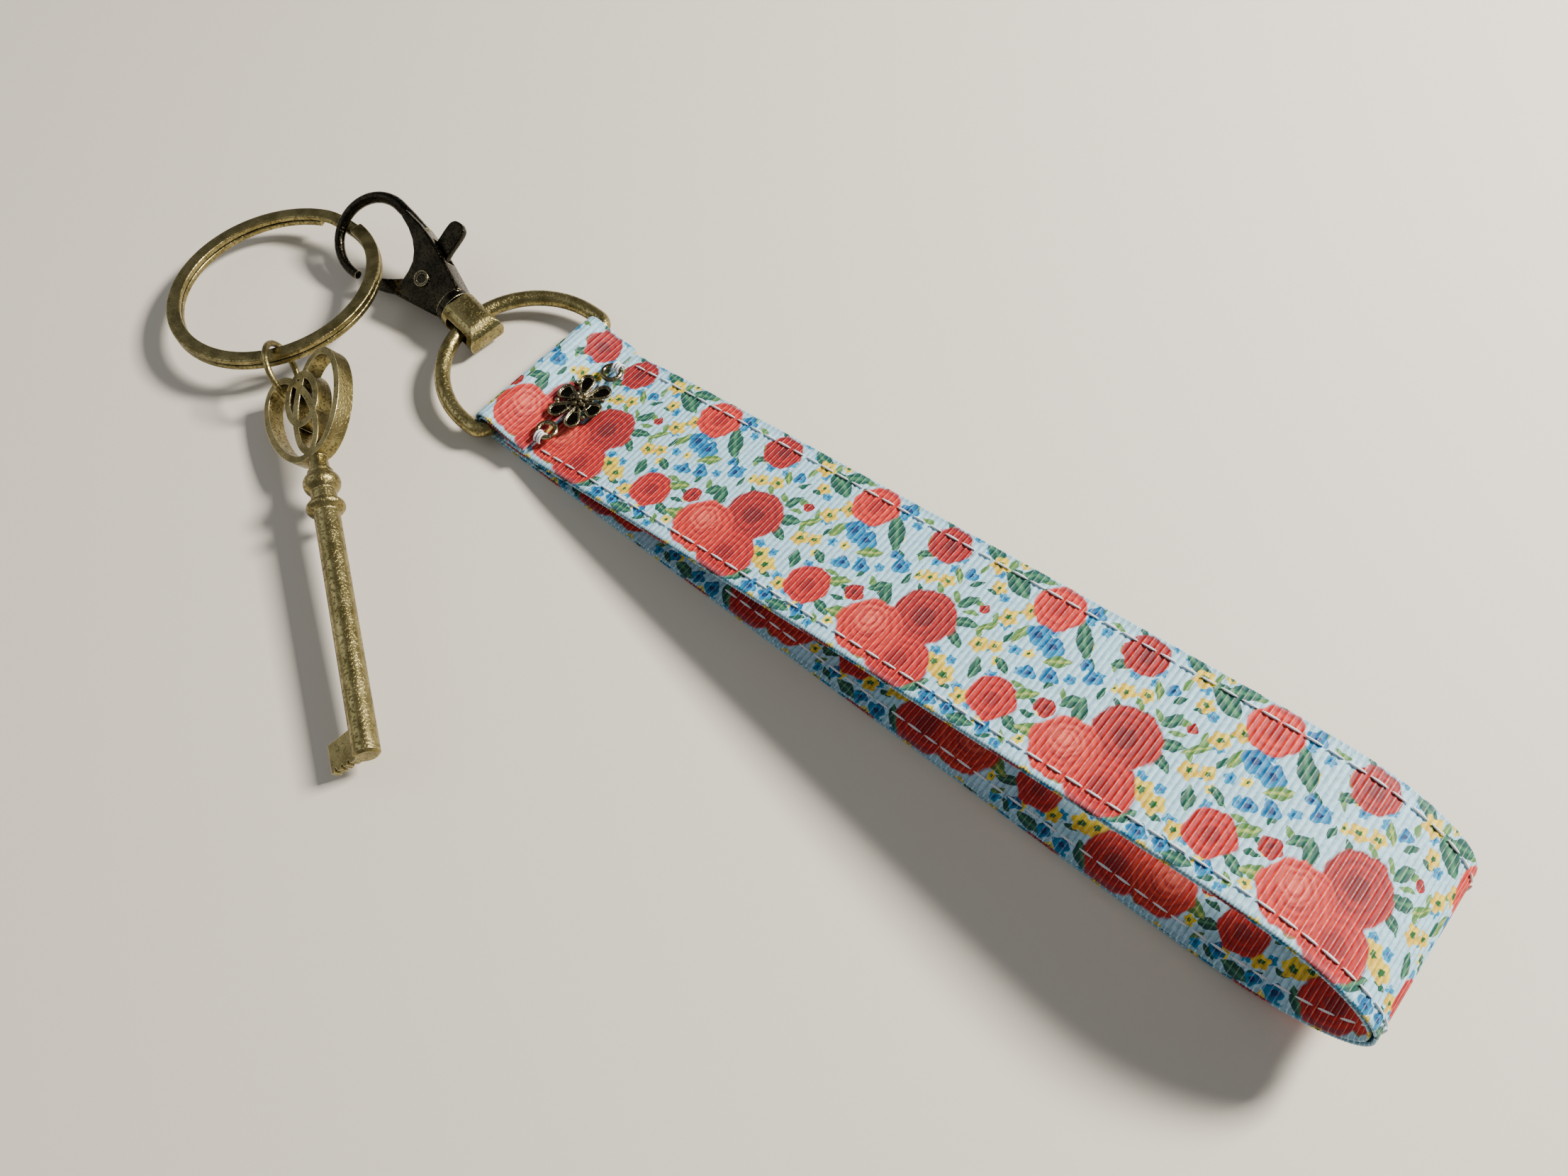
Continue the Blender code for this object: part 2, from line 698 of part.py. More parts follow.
def make_split_ring():
    """Flat wire wound twice, with one step between its layers."""
    middle = SPLIT_OUTER_RADIUS - SPLIT_BAND / 2
    points = []
    count = round((SPLIT_END - SPLIT_START) / SPLIT_DEGREES_PER_POINT)
    for index in range(count + 1):
        turn = SPLIT_START + (SPLIT_END - SPLIT_START) * index / count
        part = (turn - SPLIT_STEP_START) / (SPLIT_STEP_END - SPLIT_STEP_START)
        part = min(max(part, 0.0), 1.0)
        height = SPLIT_PITCH * (part * part * (3 - 2 * part) - 0.5)
        angle = radians(turn)
        points.append((middle * cos(angle), middle * sin(angle), height))
    section = bpy.data.curves.new("section", "CURVE")
    section.dimensions = "2D"
    spline = section.splines.new("POLY")
    outline = rounded_box(-SPLIT_BAND / 2, SPLIT_BAND / 2, SPLIT_LAYER / 2, 0.00018, 2)
    spline.points.add(len(outline) - 1)
    for index, place in enumerate(outline):
        spline.points[index].co = (*place, 0.0, 1.0)
    spline.use_cyclic_u = True
    profile = bpy.data.objects.new("split_section", section)
    CUTTERS.objects.link(profile)
    mesh = tube_mesh(points, 0, profile=profile)
    bpy.data.objects.remove(profile)
    add_mesh("split_ring", mesh, OLIVE_BRASS, facing(SPLIT_CENTRE, (-SPLIT_SLOPE[0], -SPLIT_SLOPE[1], 1)))


def make_jump_ring():
    """The small round ring that links the split ring to the key's bow."""
    points = []
    for index in range(24):
        angle = 2 * pi * index / 24
        points.append((JUMP_RADIUS * cos(angle), JUMP_RADIUS * sin(angle), 0))
    mesh = tube_mesh(points, JUMP_WIRE, cyclic=True, resolution=1)
    add_mesh("jump_ring", mesh, DARK_BRONZE, facing(JUMP_CENTRE, JUMP_AXIS))


# ---------------------------------------------------------------- the key
def key_frame():
    """At the key's neck, X towards the bow and Y to the side of the bit."""
    return placed(KEY_NECK, KEY_HEADING, KEY_PITCH, KEY_ROLL)


def band(centre, axes, tilt):
    """A standing wall that follows an ellipse, as high as the bow is thick."""
    half = BOW_WALL / 2
    outer = ellipse(centre, (axes[0] + half, axes[1] + half), tilt)
    inner = ellipse(centre, (axes[0] - half, axes[1] - half), tilt)
    return slab_mesh([outer, inner], -BOW_HEIGHT / 2, BOW_HEIGHT / 2)


def bead(place, radius, half_length):
    """(x, radius) pairs of a turned bead, from one side to the other."""
    made = []
    for index in range(7):
        angle = pi * (index + 0.5) / 7
        made.append((place + half_length * cos(angle), max(SHANK_RADIUS, radius * sin(angle))))
    return made


def make_key():
    """One casting: a bow of two crossed ovals and a small ring, two beads, a shank and a bit."""
    profile = [(0.0016, 0.0), (0.0016, 0.0013), (-0.0016, 0.0015)]
    for place, radius, half_length in BEADS:
        profile += bead(place, radius, half_length)
    profile += [
        (-0.0108, SHANK_RADIUS),
        (SHANK_END + 0.0004, SHANK_RADIUS),
        (SHANK_END, SHANK_RADIUS - 0.0004),
        (SHANK_END, 0.0),
    ]
    stem = turned_mesh(profile, 20)
    steps = []
    for side in (1, -1):
        centre = (OVAL_CENTRE[0], side * OVAL_CENTRE[1])
        steps.append(("UNION", band(centre, OVAL_AXES, side * OVAL_TILT)))
    steps.append(("UNION", band(RING_CENTRE, RING_AXES, 0.0)))
    flag = [(BIT_SPAN[1], 0.0), (BIT_SPAN[1] - 0.0006, BIT_REACH), (BIT_SPAN[0], BIT_REACH)]
    for place in reversed(BIT_NOTCHES):
        flag.append((BIT_SPAN[0], place + BIT_NOTCH / 2))
        flag.append((BIT_SPAN[0] + BIT_NOTCH, place))
        flag.append((BIT_SPAN[0], place - BIT_NOTCH / 2))
    flag.append((BIT_SPAN[0], 0.0))
    steps.append(("UNION", slab_mesh([flag], -BIT_THICKNESS / 2, BIT_THICKNESS / 2)))
    add_mesh("key", combined(stem, steps), OLIVE_BRASS, key_frame())


def main():
    """Build every part."""
    make_ribbon("outer_ribbon", RIBBON_OFFSET)
    make_ribbon("inner_ribbon", -RIBBON_OFFSET)
    make_threads()
    make_charm()
    make_d_ring()
    make_swivel_eye()
    make_swivel_post()
    make_clasp_body()
    make_gate_lever()
    make_lever_rivet()
    make_lever_spring()
    make_split_ring()
    make_jump_ring()
    make_key()


clear_scene()
PARTS = collection("wristlet_keychain")
CUTTERS = collection("cutters")
main()
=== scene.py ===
"""Looks for a wristlet keychain: printed ribbon loop, swivel clasp, split ring and skeleton key."""

import logging
from dataclasses import dataclass
from enum import Enum
from math import asin, cos, pi, radians, sin
from typing import Any

import bmesh
import bpy
import numpy as np
from mathutils import Euler, Matrix, Vector


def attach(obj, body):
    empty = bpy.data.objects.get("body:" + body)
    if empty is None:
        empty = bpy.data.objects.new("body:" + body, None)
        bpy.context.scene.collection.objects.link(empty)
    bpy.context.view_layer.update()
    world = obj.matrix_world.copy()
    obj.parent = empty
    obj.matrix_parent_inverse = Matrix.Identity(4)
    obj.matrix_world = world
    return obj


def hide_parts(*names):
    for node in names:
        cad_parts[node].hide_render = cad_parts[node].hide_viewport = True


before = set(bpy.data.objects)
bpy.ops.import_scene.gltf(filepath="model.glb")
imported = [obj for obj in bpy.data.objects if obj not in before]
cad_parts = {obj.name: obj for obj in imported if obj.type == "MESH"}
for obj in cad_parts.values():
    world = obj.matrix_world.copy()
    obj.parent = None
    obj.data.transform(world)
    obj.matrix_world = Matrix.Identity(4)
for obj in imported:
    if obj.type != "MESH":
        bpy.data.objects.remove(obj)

LOG = logging.getLogger("wristlet")
MM = 0.001
Point = tuple[float, float, float]
Pair = tuple[float, float]
Colour = tuple[float, float, float, float]


class Slot(Enum):
    """The record's material slots."""

    RIBBON = "printed_ribbon"
    THREAD = "thread"
    BRASS = "antique_brass"
    BRONZE = "dark_bronze"
    STEEL = "spring_steel"


class Body(Enum):
    """The bodies that pieces ride on."""

    STRAP = "strap"
    D_RING = "d_ring_body"
    EYE = "swivel_eye_body"
    CLASP = "clasp"
    GATE = "gate"
    SPLIT = "split_ring_body"
    JUMP = "jump_ring_body"
    KEY = "key_body"


# ---------------------------------------------------------------- node trees
class Graph:
    """A short way to fill a node tree."""

    def __init__(self, tree: bpy.types.NodeTree) -> None:
        """Take the tree to fill."""
        self.tree = tree

    def add(self, kind: str, *values: Any, **settings: Any) -> bpy.types.Node:
        """Add a node.

        Args:
            kind: The node's type name.
            values: Its inputs in order, each a socket to link, a value, or None to leave alone.
            settings: Properties of the node.

        Returns:
            The node.
        """
        node = self.tree.nodes.new(kind)
        for name, value in settings.items():
            setattr(node, name, value)
        for index, value in enumerate(values):
            self.feed(node.inputs[index], value)
        return node

    def feed(self, socket: bpy.types.NodeSocket, value: Any) -> None:
        """Link a socket to another, or give it a value."""
        if isinstance(value, bpy.types.NodeSocket):
            self.tree.links.new(value, socket)
        elif value is not None:
            socket.default_value = value

    def math(self, operation: str, *values: Any) -> bpy.types.NodeSocket:
        """The result of a Math node."""
        return self.add("ShaderNodeMath", *values, operation=operation).outputs[0]

    def mix(self, factor: Any, first: Any, second: Any, blend: str = "MIX") -> bpy.types.NodeSocket:
        """One colour mixed over another by a factor."""
        node = self.add("ShaderNodeMix", factor, data_type="RGBA", blend_type=blend)
        self.feed(node.inputs[6], first)
        self.feed(node.inputs[7], second)
        return node.outputs[2]

    def ramp(
        self, value: Any, low: float, high: float, start: float = 0.0, end: float = 1.0
    ) -> bpy.types.NodeSocket:
        """A value taken smoothly from start to end as it goes from low to high."""
        node = self.add(
            "ShaderNodeMapRange", value, low, high, start, end, interpolation_type="SMOOTHSTEP"
        )
        return node.outputs[0]

    def noise(self, place: Any, scale: float, detail: float = 2.0) -> bpy.types.NodeSocket:
        """The value of a noise texture."""
        return self.add("ShaderNodeTexNoise", place, None, scale, detail).outputs[0]


def new_group(
    name: str, inputs: dict[str, str], outputs: dict[str, str]
) -> tuple[Graph, dict[str, bpy.types.NodeSocket], bpy.types.Node]:
    """Make a shader node group with its interface.

    Args:
        name: The group's name.
        inputs: The socket type of each input.
        outputs: The socket type of each output.

    Returns:
        A graph to fill, the input sockets by name, and the group's output node.
    """
    tree = bpy.data.node_groups.new(name, "ShaderNodeTree")
    for label, kind in inputs.items():
        tree.interface.new_socket(label, in_out="INPUT", socket_type=kind)
    for label, kind in outputs.items():
        tree.interface.new_socket(label, in_out="OUTPUT", socket_type=kind)
    graph = Graph(tree)
    start = graph.add("NodeGroupInput")
    return graph, {s.name: s for s in start.outputs if s.name}, graph.add("NodeGroupOutput")


FLOAT = "NodeSocketFloat"
VECTOR = "NodeSocketVector"


class Groups:
    """The effects that several materials share, as node groups."""

    def __init__(self, repeat: float) -> None:
        """Build the groups. The print repeats every so many millimetres along X."""
        self.repeat = repeat
        self.bloom = self.make_bloom()
        self.leaf = self.make_leaf()
        self.scatter = self.make_scatter()
        self.wear = self.make_wear()

    def centred(self, graph: Graph, sockets: dict[str, Any]) -> tuple[Any, Any]:
        """The distances along and across from a motif's centre, repeating along X."""
        parts = graph.add("ShaderNodeSeparateXYZ", sockets["Place"]).outputs
        along = graph.math("SUBTRACT", parts[0], sockets["Centre X"])
        half = self.repeat / 2
        return (
            graph.math("WRAP", along, half, -half),
            graph.math("SUBTRACT", parts[1], sockets["Centre Y"]),
        )

    def make_bloom(self) -> bpy.types.NodeTree:
        """A round flower with lobed petals whose folds wind round its heart."""
        names = ("Centre X", "Centre Y", "Radius", "Petals", "Depth", "Swirl")
        graph, sockets, end = new_group(
            "bloom",
            {"Place": VECTOR, **{name: FLOAT for name in names}},
            {"Mask": FLOAT, "Shade": FLOAT, "Heart": FLOAT},
        )
        along, across = self.centred(graph, sockets)
        squares = graph.math(
            "ADD", graph.math("MULTIPLY", along, along), graph.math("MULTIPLY", across, across)
        )
        reach = graph.math("DIVIDE", graph.math("SQRT", squares), sockets["Radius"])
        angle = graph.math("ARCTAN2", across, along)
        wave = graph.math("COSINE", graph.math("MULTIPLY", angle, sockets["Petals"]))
        dip = graph.math("MULTIPLY", graph.math("SUBTRACT", 1.0, wave), sockets["Depth"])
        reach = graph.math("DIVIDE", reach, graph.math("SUBTRACT", 1.0, dip))
        turn = graph.math(
            "ADD",
            graph.math("MULTIPLY", reach, sockets["Swirl"]),
            graph.math("DIVIDE", angle, 2 * pi),
        )
        fold = graph.math("MULTIPLY", graph.math("PINGPONG", turn, 0.5), 2.0)
        graph.feed(end.inputs[0], graph.ramp(reach, 0.90, 1.0, 1.0, 0.0))
        graph.feed(end.inputs[1], fold)
        graph.feed(end.inputs[2], graph.ramp(reach, 0.26, 0.38, 1.0, 0.0))
        return graph.tree

    def make_leaf(self) -> bpy.types.NodeTree:
        """A pointed leaf with a paler middle rib."""
        names = ("Centre X", "Centre Y", "Length", "Width", "Angle")
        graph, sockets, end = new_group(
            "leaf",
            {"Place": VECTOR, **{name: FLOAT for name in names}},
            {"Mask": FLOAT, "Shade": FLOAT},
        )
        along, across = self.centred(graph, sockets)
        turn = (graph.math("COSINE", sockets["Angle"]), graph.math("SINE", sockets["Angle"]))
        long_way = graph.math(
            "ADD", graph.math("MULTIPLY", along, turn[0]), graph.math("MULTIPLY", across, turn[1])
        )
        wide_way = graph.math(
            "SUBTRACT",
            graph.math("MULTIPLY", across, turn[0]),
            graph.math("MULTIPLY", along, turn[1]),
        )
        tip = graph.math("ABSOLUTE", graph.math("DIVIDE", long_way, sockets["Length"]))
        side = graph.math("ABSOLUTE", graph.math("DIVIDE", wide_way, sockets["Width"]))
        edge = graph.math("ADD", graph.math("MULTIPLY", tip, tip), side)
        graph.feed(end.inputs[0], graph.ramp(edge, 0.88, 1.0, 1.0, 0.0))
        graph.feed(end.inputs[1], graph.ramp(side, 0.05, 0.35, 1.0, 0.0))
        return graph.tree

    def make_scatter(self) -> bpy.types.NodeTree:
        """Small filler flowers and leaves, one in each cell, with a random kind."""
        graph, sockets, end = new_group(
            "scatter",
            {"Place": VECTOR, "Cell": FLOAT},
            {"Flower": FLOAT, "Heart": FLOAT, "Leaf": FLOAT, "Kind": FLOAT},
        )
        parts = graph.add("ShaderNodeSeparateXYZ", sockets["Place"]).outputs
        along = graph.math("WRAP", parts[0], self.repeat, 0.0)
        flat = graph.add("ShaderNodeCombineXYZ", along, parts[1], 0.0).outputs[0]
        size = graph.math("DIVIDE", 1.0, sockets["Cell"])
        cells = graph.add("ShaderNodeVectorMath", flat, operation="SCALE")
        graph.feed(cells.inputs["Scale"], size)
        grid = graph.add("ShaderNodeTexVoronoi", voronoi_dimensions="2D")
        graph.feed(grid.inputs["Vector"], cells.outputs[0])
        graph.feed(grid.inputs["Scale"], 1.0)
        graph.feed(grid.inputs["Randomness"], 0.8)
        chance = graph.add("ShaderNodeSeparateColor", grid.outputs["Color"]).outputs
        arm = graph.add(
            "ShaderNodeVectorMath", cells.outputs[0], grid.outputs["Position"], operation="SUBTRACT"
        )
        spin = graph.math("MULTIPLY", chance[1], 2 * pi)
        turned = graph.add("ShaderNodeVectorRotate", rotation_type="Z_AXIS")
        graph.feed(turned.inputs["Vector"], arm.outputs[0])
        graph.feed(turned.inputs["Angle"], spin)
        x, y = graph.add("ShaderNodeSeparateXYZ", turned.outputs[0]).outputs[:2]
        lobes = graph.math("COSINE", graph.math("MULTIPLY", graph.math("ARCTAN2", y, x), 5.0))
        reach = graph.math(
            "DIVIDE",
            grid.outputs["Distance"],
            graph.math("ADD", 0.27, graph.math("MULTIPLY", lobes, 0.05)),
        )
        slim = graph.math("ABSOLUTE", graph.math("DIVIDE", y, 0.17))
        long_way = graph.math("DIVIDE", x, 0.42)
        blade = graph.math("ADD", slim, graph.math("MULTIPLY", long_way, long_way))
        leafy = graph.math("GREATER_THAN", chance[0], 0.55)
        flower = graph.ramp(reach, 0.86, 1.0, 1.0, 0.0)
        bare = graph.math("SUBTRACT", 1.0, leafy)
        graph.feed(end.inputs[0], graph.math("MULTIPLY", flower, bare))
        graph.feed(end.inputs[1], graph.ramp(reach, 0.28, 0.42, 1.0, 0.0))
        blade = graph.ramp(blade, 0.85, 1.0, 1.0, 0.0)
        graph.feed(end.inputs[2], graph.math("MULTIPLY", blade, leafy))
        graph.feed(end.inputs[3], chance[0])
        return graph.tree

    def make_wear(self) -> bpy.types.NodeTree:
        """Where metal is rubbed bright, where painted shade darkens hollows and places near other
        parts, and fine speckles.
        """
        graph, sockets, end = new_group(
            "wear",
            {"Place": VECTOR, "Grain": FLOAT, "Edge": FLOAT, "Reach": FLOAT},
            {"Rubbed": FLOAT, "Grime And Shade": FLOAT, "Speckle": FLOAT, "Cloud": FLOAT},
        )
        true_normal = graph.add("ShaderNodeNewGeometry").outputs["Normal"]
        soft = graph.add("ShaderNodeBevel", sockets["Edge"], samples=8).outputs[0]
        meet = graph.add("ShaderNodeVectorMath", soft, true_normal, operation="DOT_PRODUCT")
        broad = graph.noise(sockets["Place"], 420.0, 4.0)
        lack = graph.math("SUBTRACT", 1.0, meet.outputs["Value"])
        lack = graph.math("MULTIPLY", lack, graph.ramp(broad, 0.3, 0.6, 0.45, 1.4))
        graph.feed(end.inputs[0], graph.ramp(lack, 0.015, 0.10))
        # Painted shade: ambient occlusion darkens hollows and places close to other parts or the
        # floor, broken up by noise.
        hollow = graph.add("ShaderNodeAmbientOcclusion", None, sockets["Reach"], samples=8)
        ragged = graph.math("MULTIPLY", graph.math("SUBTRACT", broad, 0.5), 0.4)
        shade = graph.math("ADD", hollow.outputs["AO"], ragged)
        graph.feed(end.inputs[1], graph.ramp(shade, 0.25, 0.80, 1.0, 0.0))
        fine = graph.add("ShaderNodeTexNoise", sockets["Place"], None, sockets["Grain"], 3.0)
        graph.feed(end.inputs[2], graph.ramp(fine.outputs[0], 0.50, 0.66))
        graph.feed(end.inputs[3], graph.ramp(broad, 0.32, 0.66))
        return graph.tree


# ---------------------------------------------------------------- finishes
def new_material(name: str, colour: Colour) -> tuple[bpy.types.Material, Graph, Any]:
    """A new material, a graph to fill it, and the inputs of its Principled BSDF."""
    made = bpy.data.materials.new(name)
    made.use_nodes = True
    made.diffuse_color = colour
    return made, Graph(made.node_tree), made.node_tree.nodes["Principled BSDF"].inputs


@dataclass(frozen=True)
class MetalFinish:
    """An antique plating: a body colour, rubbed edges, and hollows darkened with painted shade."""

    name: str
    base: Colour
    tint: Colour
    rubbed: Colour
    # Dark colour of the speckles and of the painted shade in hollows.
    grime_and_shade: Colour
    roughness: float
    grain: float = 2600.0
    speckle: float = 0.55
    rubbing: float = 0.9
    rounding: float = 0.14
    reach: float = 0.0016

    def material(self, groups: Groups) -> bpy.types.Material:
        """The material, its edges softened by a Bevel node."""
        made, graph, shader = new_material(self.name, self.base)
        place = graph.add("ShaderNodeTexCoord").outputs["Object"]
        rounding = self.rounding * MM
        values = (place, self.grain, rounding, self.reach)
        wear = graph.add("ShaderNodeGroup", *values, node_tree=groups.wear)
        rubbed, grime_and_shade, speckle, cloud = wear.outputs[:4]
        colour = graph.mix(cloud, self.tint, self.base)
        colour = graph.mix(graph.math("MULTIPLY", speckle, self.speckle), colour, self.grime_and_shade)
        # Painted shade: hollows and near-touching places found by ambient occlusion take the dark
        # colour.
        colour = graph.mix(grime_and_shade, colour, self.grime_and_shade)
        colour = graph.mix(graph.math("MULTIPLY", rubbed, self.rubbing), colour, self.rubbed)
        rough = graph.math("ADD", graph.math("MULTIPLY", speckle, 0.18), self.roughness)
        bevel = graph.add("ShaderNodeBevel", rounding, samples=6)
        bump = graph.add("ShaderNodeBump", 0.35, 0.0001)
        graph.feed(bump.inputs["Height"], speckle)
        graph.feed(bump.inputs["Normal"], bevel.outputs[0])
        graph.feed(shader["Base Color"], colour)
        graph.feed(shader["Roughness"], rough)
        graph.feed(shader["Normal"], bump.outputs[0])
        shader["Metallic"].default_value = 1.0
        return made


@dataclass(frozen=True)
class ThreadFinish:
    """Twisted sewing thread."""

    name: str
    colour: Colour
    shade: Colour

    def material(self) -> bpy.types.Material:
        """The material, its twist drawn by a fine wave."""
        made, graph, shader = new_material(self.name, self.colour)
        place = graph.add("ShaderNodeTexCoord").outputs["Object"]
        wave = graph.add("ShaderNodeTexWave", place, 1800.0, 1.0, wave_type="BANDS")
        wave.bands_direction = "DIAGONAL"
        colour = graph.mix(wave.outputs[1], self.shade, self.colour)
        graph.feed(shader["Base Color"], colour)
        shader["Roughness"].default_value = 0.75
        shader["Sheen Weight"].default_value = 0.3
        return made


class Palette(Enum):
    """(dark, light, heart) colours of a printed flower."""

    ROSE = ((0.34, 0.002, 0.001, 1), (0.56, 0.010, 0.002, 1), (0.28, 0.002, 0.001, 1))
    DEEP = ((0.23, 0.001, 0.001, 1), (0.42, 0.005, 0.001, 1), (0.17, 0.001, 0.001, 1))
    PINK = ((0.46, 0.006, 0.002, 1), (0.76, 0.085, 0.045, 1), (0.74, 0.09, 0.05, 1))
    CORAL = ((0.42, 0.004, 0.001, 1), (0.68, 0.030, 0.010, 1), (0.36, 0.003, 0.001, 1))
    BLUE = ((0.001, 0.090, 0.26, 1), (0.001, 0.25, 0.50, 1), (0.001, 0.025, 0.12, 1))
    YELLOW = ((0.66, 0.40, 0.006, 1), (0.84, 0.62, 0.020, 1), (0.01, 0.10, 0.01, 1))


@dataclass(frozen=True)
class Bloom:
    """A printed flower: its place in the repeat, size and folds, in millimetres."""

    palette: Palette
    along: float
    across: float
    radius: float
    petals: float
    depth: float
    swirl: float


@dataclass(frozen=True)
class Leaf:
    """A printed leaf: its place in the repeat and its size, in millimetres."""

    along: float
    across: float
    length: float
    width: float
    angle: float
    dark: bool = True


def daisy(along: float, across: float, radius: float) -> Bloom:
    """A small yellow flower."""
    return Bloom(Palette.YELLOW, along, across, radius, 5, 0.14, 0.5)


def bluet(along: float, across: float, radius: float, petals: float, depth: float) -> Bloom:
    """A small blue flower."""
    return Bloom(Palette.BLUE, along, across, radius, petals, depth, 0.9)


# A later flower lies over an earlier one.
BLOOMS = (
    daisy(10.0, -6.6, 1.7),
    daisy(12.0, -7.4, 1.6),
    daisy(13.0, -1.3, 1.4),
    daisy(14.8, -0.4, 1.2),
    daisy(13.8, 4.2, 1.5),
    daisy(15.6, 6.6, 1.5),
    daisy(8.3, 10.4, 1.6),
    daisy(10.2, 7.3, 1.2),
    daisy(3.9, 4.4, 1.2),
    bluet(18.4, 4.2, 1.9, 4, 0.12),
    bluet(20.8, 3.6, 1.8, 4, 0.12),
    bluet(20.4, -1.2, 1.2, 3, 0.16),
    bluet(22.8, -0.2, 1.35, 3, 0.16),
    bluet(27.2, 2.6, 1.4, 3, 0.16),
    bluet(6.2, 6.9, 1.1, 3, 0.16),
    bluet(12.4, -11.4, 1.4, 4, 0.14),
    bluet(20.2, -10.6, 1.2, 4, 0.14),
    bluet(22.6, 10.9, 1.5, 4, 0.14),
    daisy(15.4, -8.8, 1.3),
    daisy(1.8, 3.6, 1.3),
    bluet(15.2, -11.2, 1.2, 4, 0.14),
    bluet(25.6, 3.8, 0.9, 3, 0.16),
    Bloom(Palette.CORAL, 18.3, 9.0, 3.7, 6, 0.03, 3.4),
    Bloom(Palette.DEEP, 1.0, 9.3, 3.2, 6, 0.03, 3.2),
    Bloom(Palette.DEEP, 24.8, -4.1, 1.5, 5, 0.05, 2.0),
    Bloom(Palette.DEEP, 10.6, 3.6, 0.8, 4, 0.05, 1.0),
    Bloom(Palette.ROSE, 18.8, -6.7, 3.4, 5, 0.035, 3.2),
    Bloom(Palette.DEEP, 4.9, -1.9, 4.7, 5, 0.025, 4.0),
    Bloom(Palette.ROSE, 5.9, -9.0, 4.5, 5, 0.03, 4.2),
    Bloom(Palette.CORAL, 0.0, -7.4, 4.8, 6, 0.025, 4.6),
    Bloom(Palette.PINK, -0.6, -6.2, 2.5, 5, 0.04, 2.6),
)

LEAVES = (
    Leaf(9.6, 0.3, 2.0, 0.9, 0.4),
    Leaf(9.8, -2.2, 1.8, 0.8, -0.5),
    Leaf(8.2, 3.2, 1.7, 0.8, 1.1),
    Leaf(28.9, 6.6, 1.7, 0.7, 0.8),
    Leaf(17.4, -11.6, 2.0, 0.9, 0.2),
    Leaf(6.8, 11.6, 2.0, 1.0, 2.8),
    Leaf(22.6, -8.4, 1.7, 0.8, -0.4),
    Leaf(17.2, -2.2, 1.5, 0.7, 2.6),
    Leaf(28.4, -2.0, 2.2, 1.0, 1.9),
    Leaf(26.8, -1.6, 1.6, 0.8, 0.9),
    Leaf(25.4, -7.6, 2.4, 1.1, 0.3, False),
    Leaf(11.8, 9.4, 3.0, 1.5, 2.6),
    Leaf(13.0, 11.4, 2.2, 1.2, 0.4),
    Leaf(23.4, 6.8, 3.3, 1.2, 2.2),
    Leaf(22.4, 2.2, 2.0, 0.9, 0.6, False),
    Leaf(16.4, 3.0, 1.8, 0.7, 1.4, False),
    Leaf(14.6, -4.4, 1.8, 0.8, 1.9),
    Leaf(21.8, -4.0, 2.0, 0.9, 0.7, False),
    Leaf(12.4, 1.6, 1.9, 0.6, 0.9, False),
    Leaf(4.8, 6.0, 1.5, 0.6, 2.2, False),
    Leaf(9.8, -10.8, 2.1, 1.0, 0.9),
)


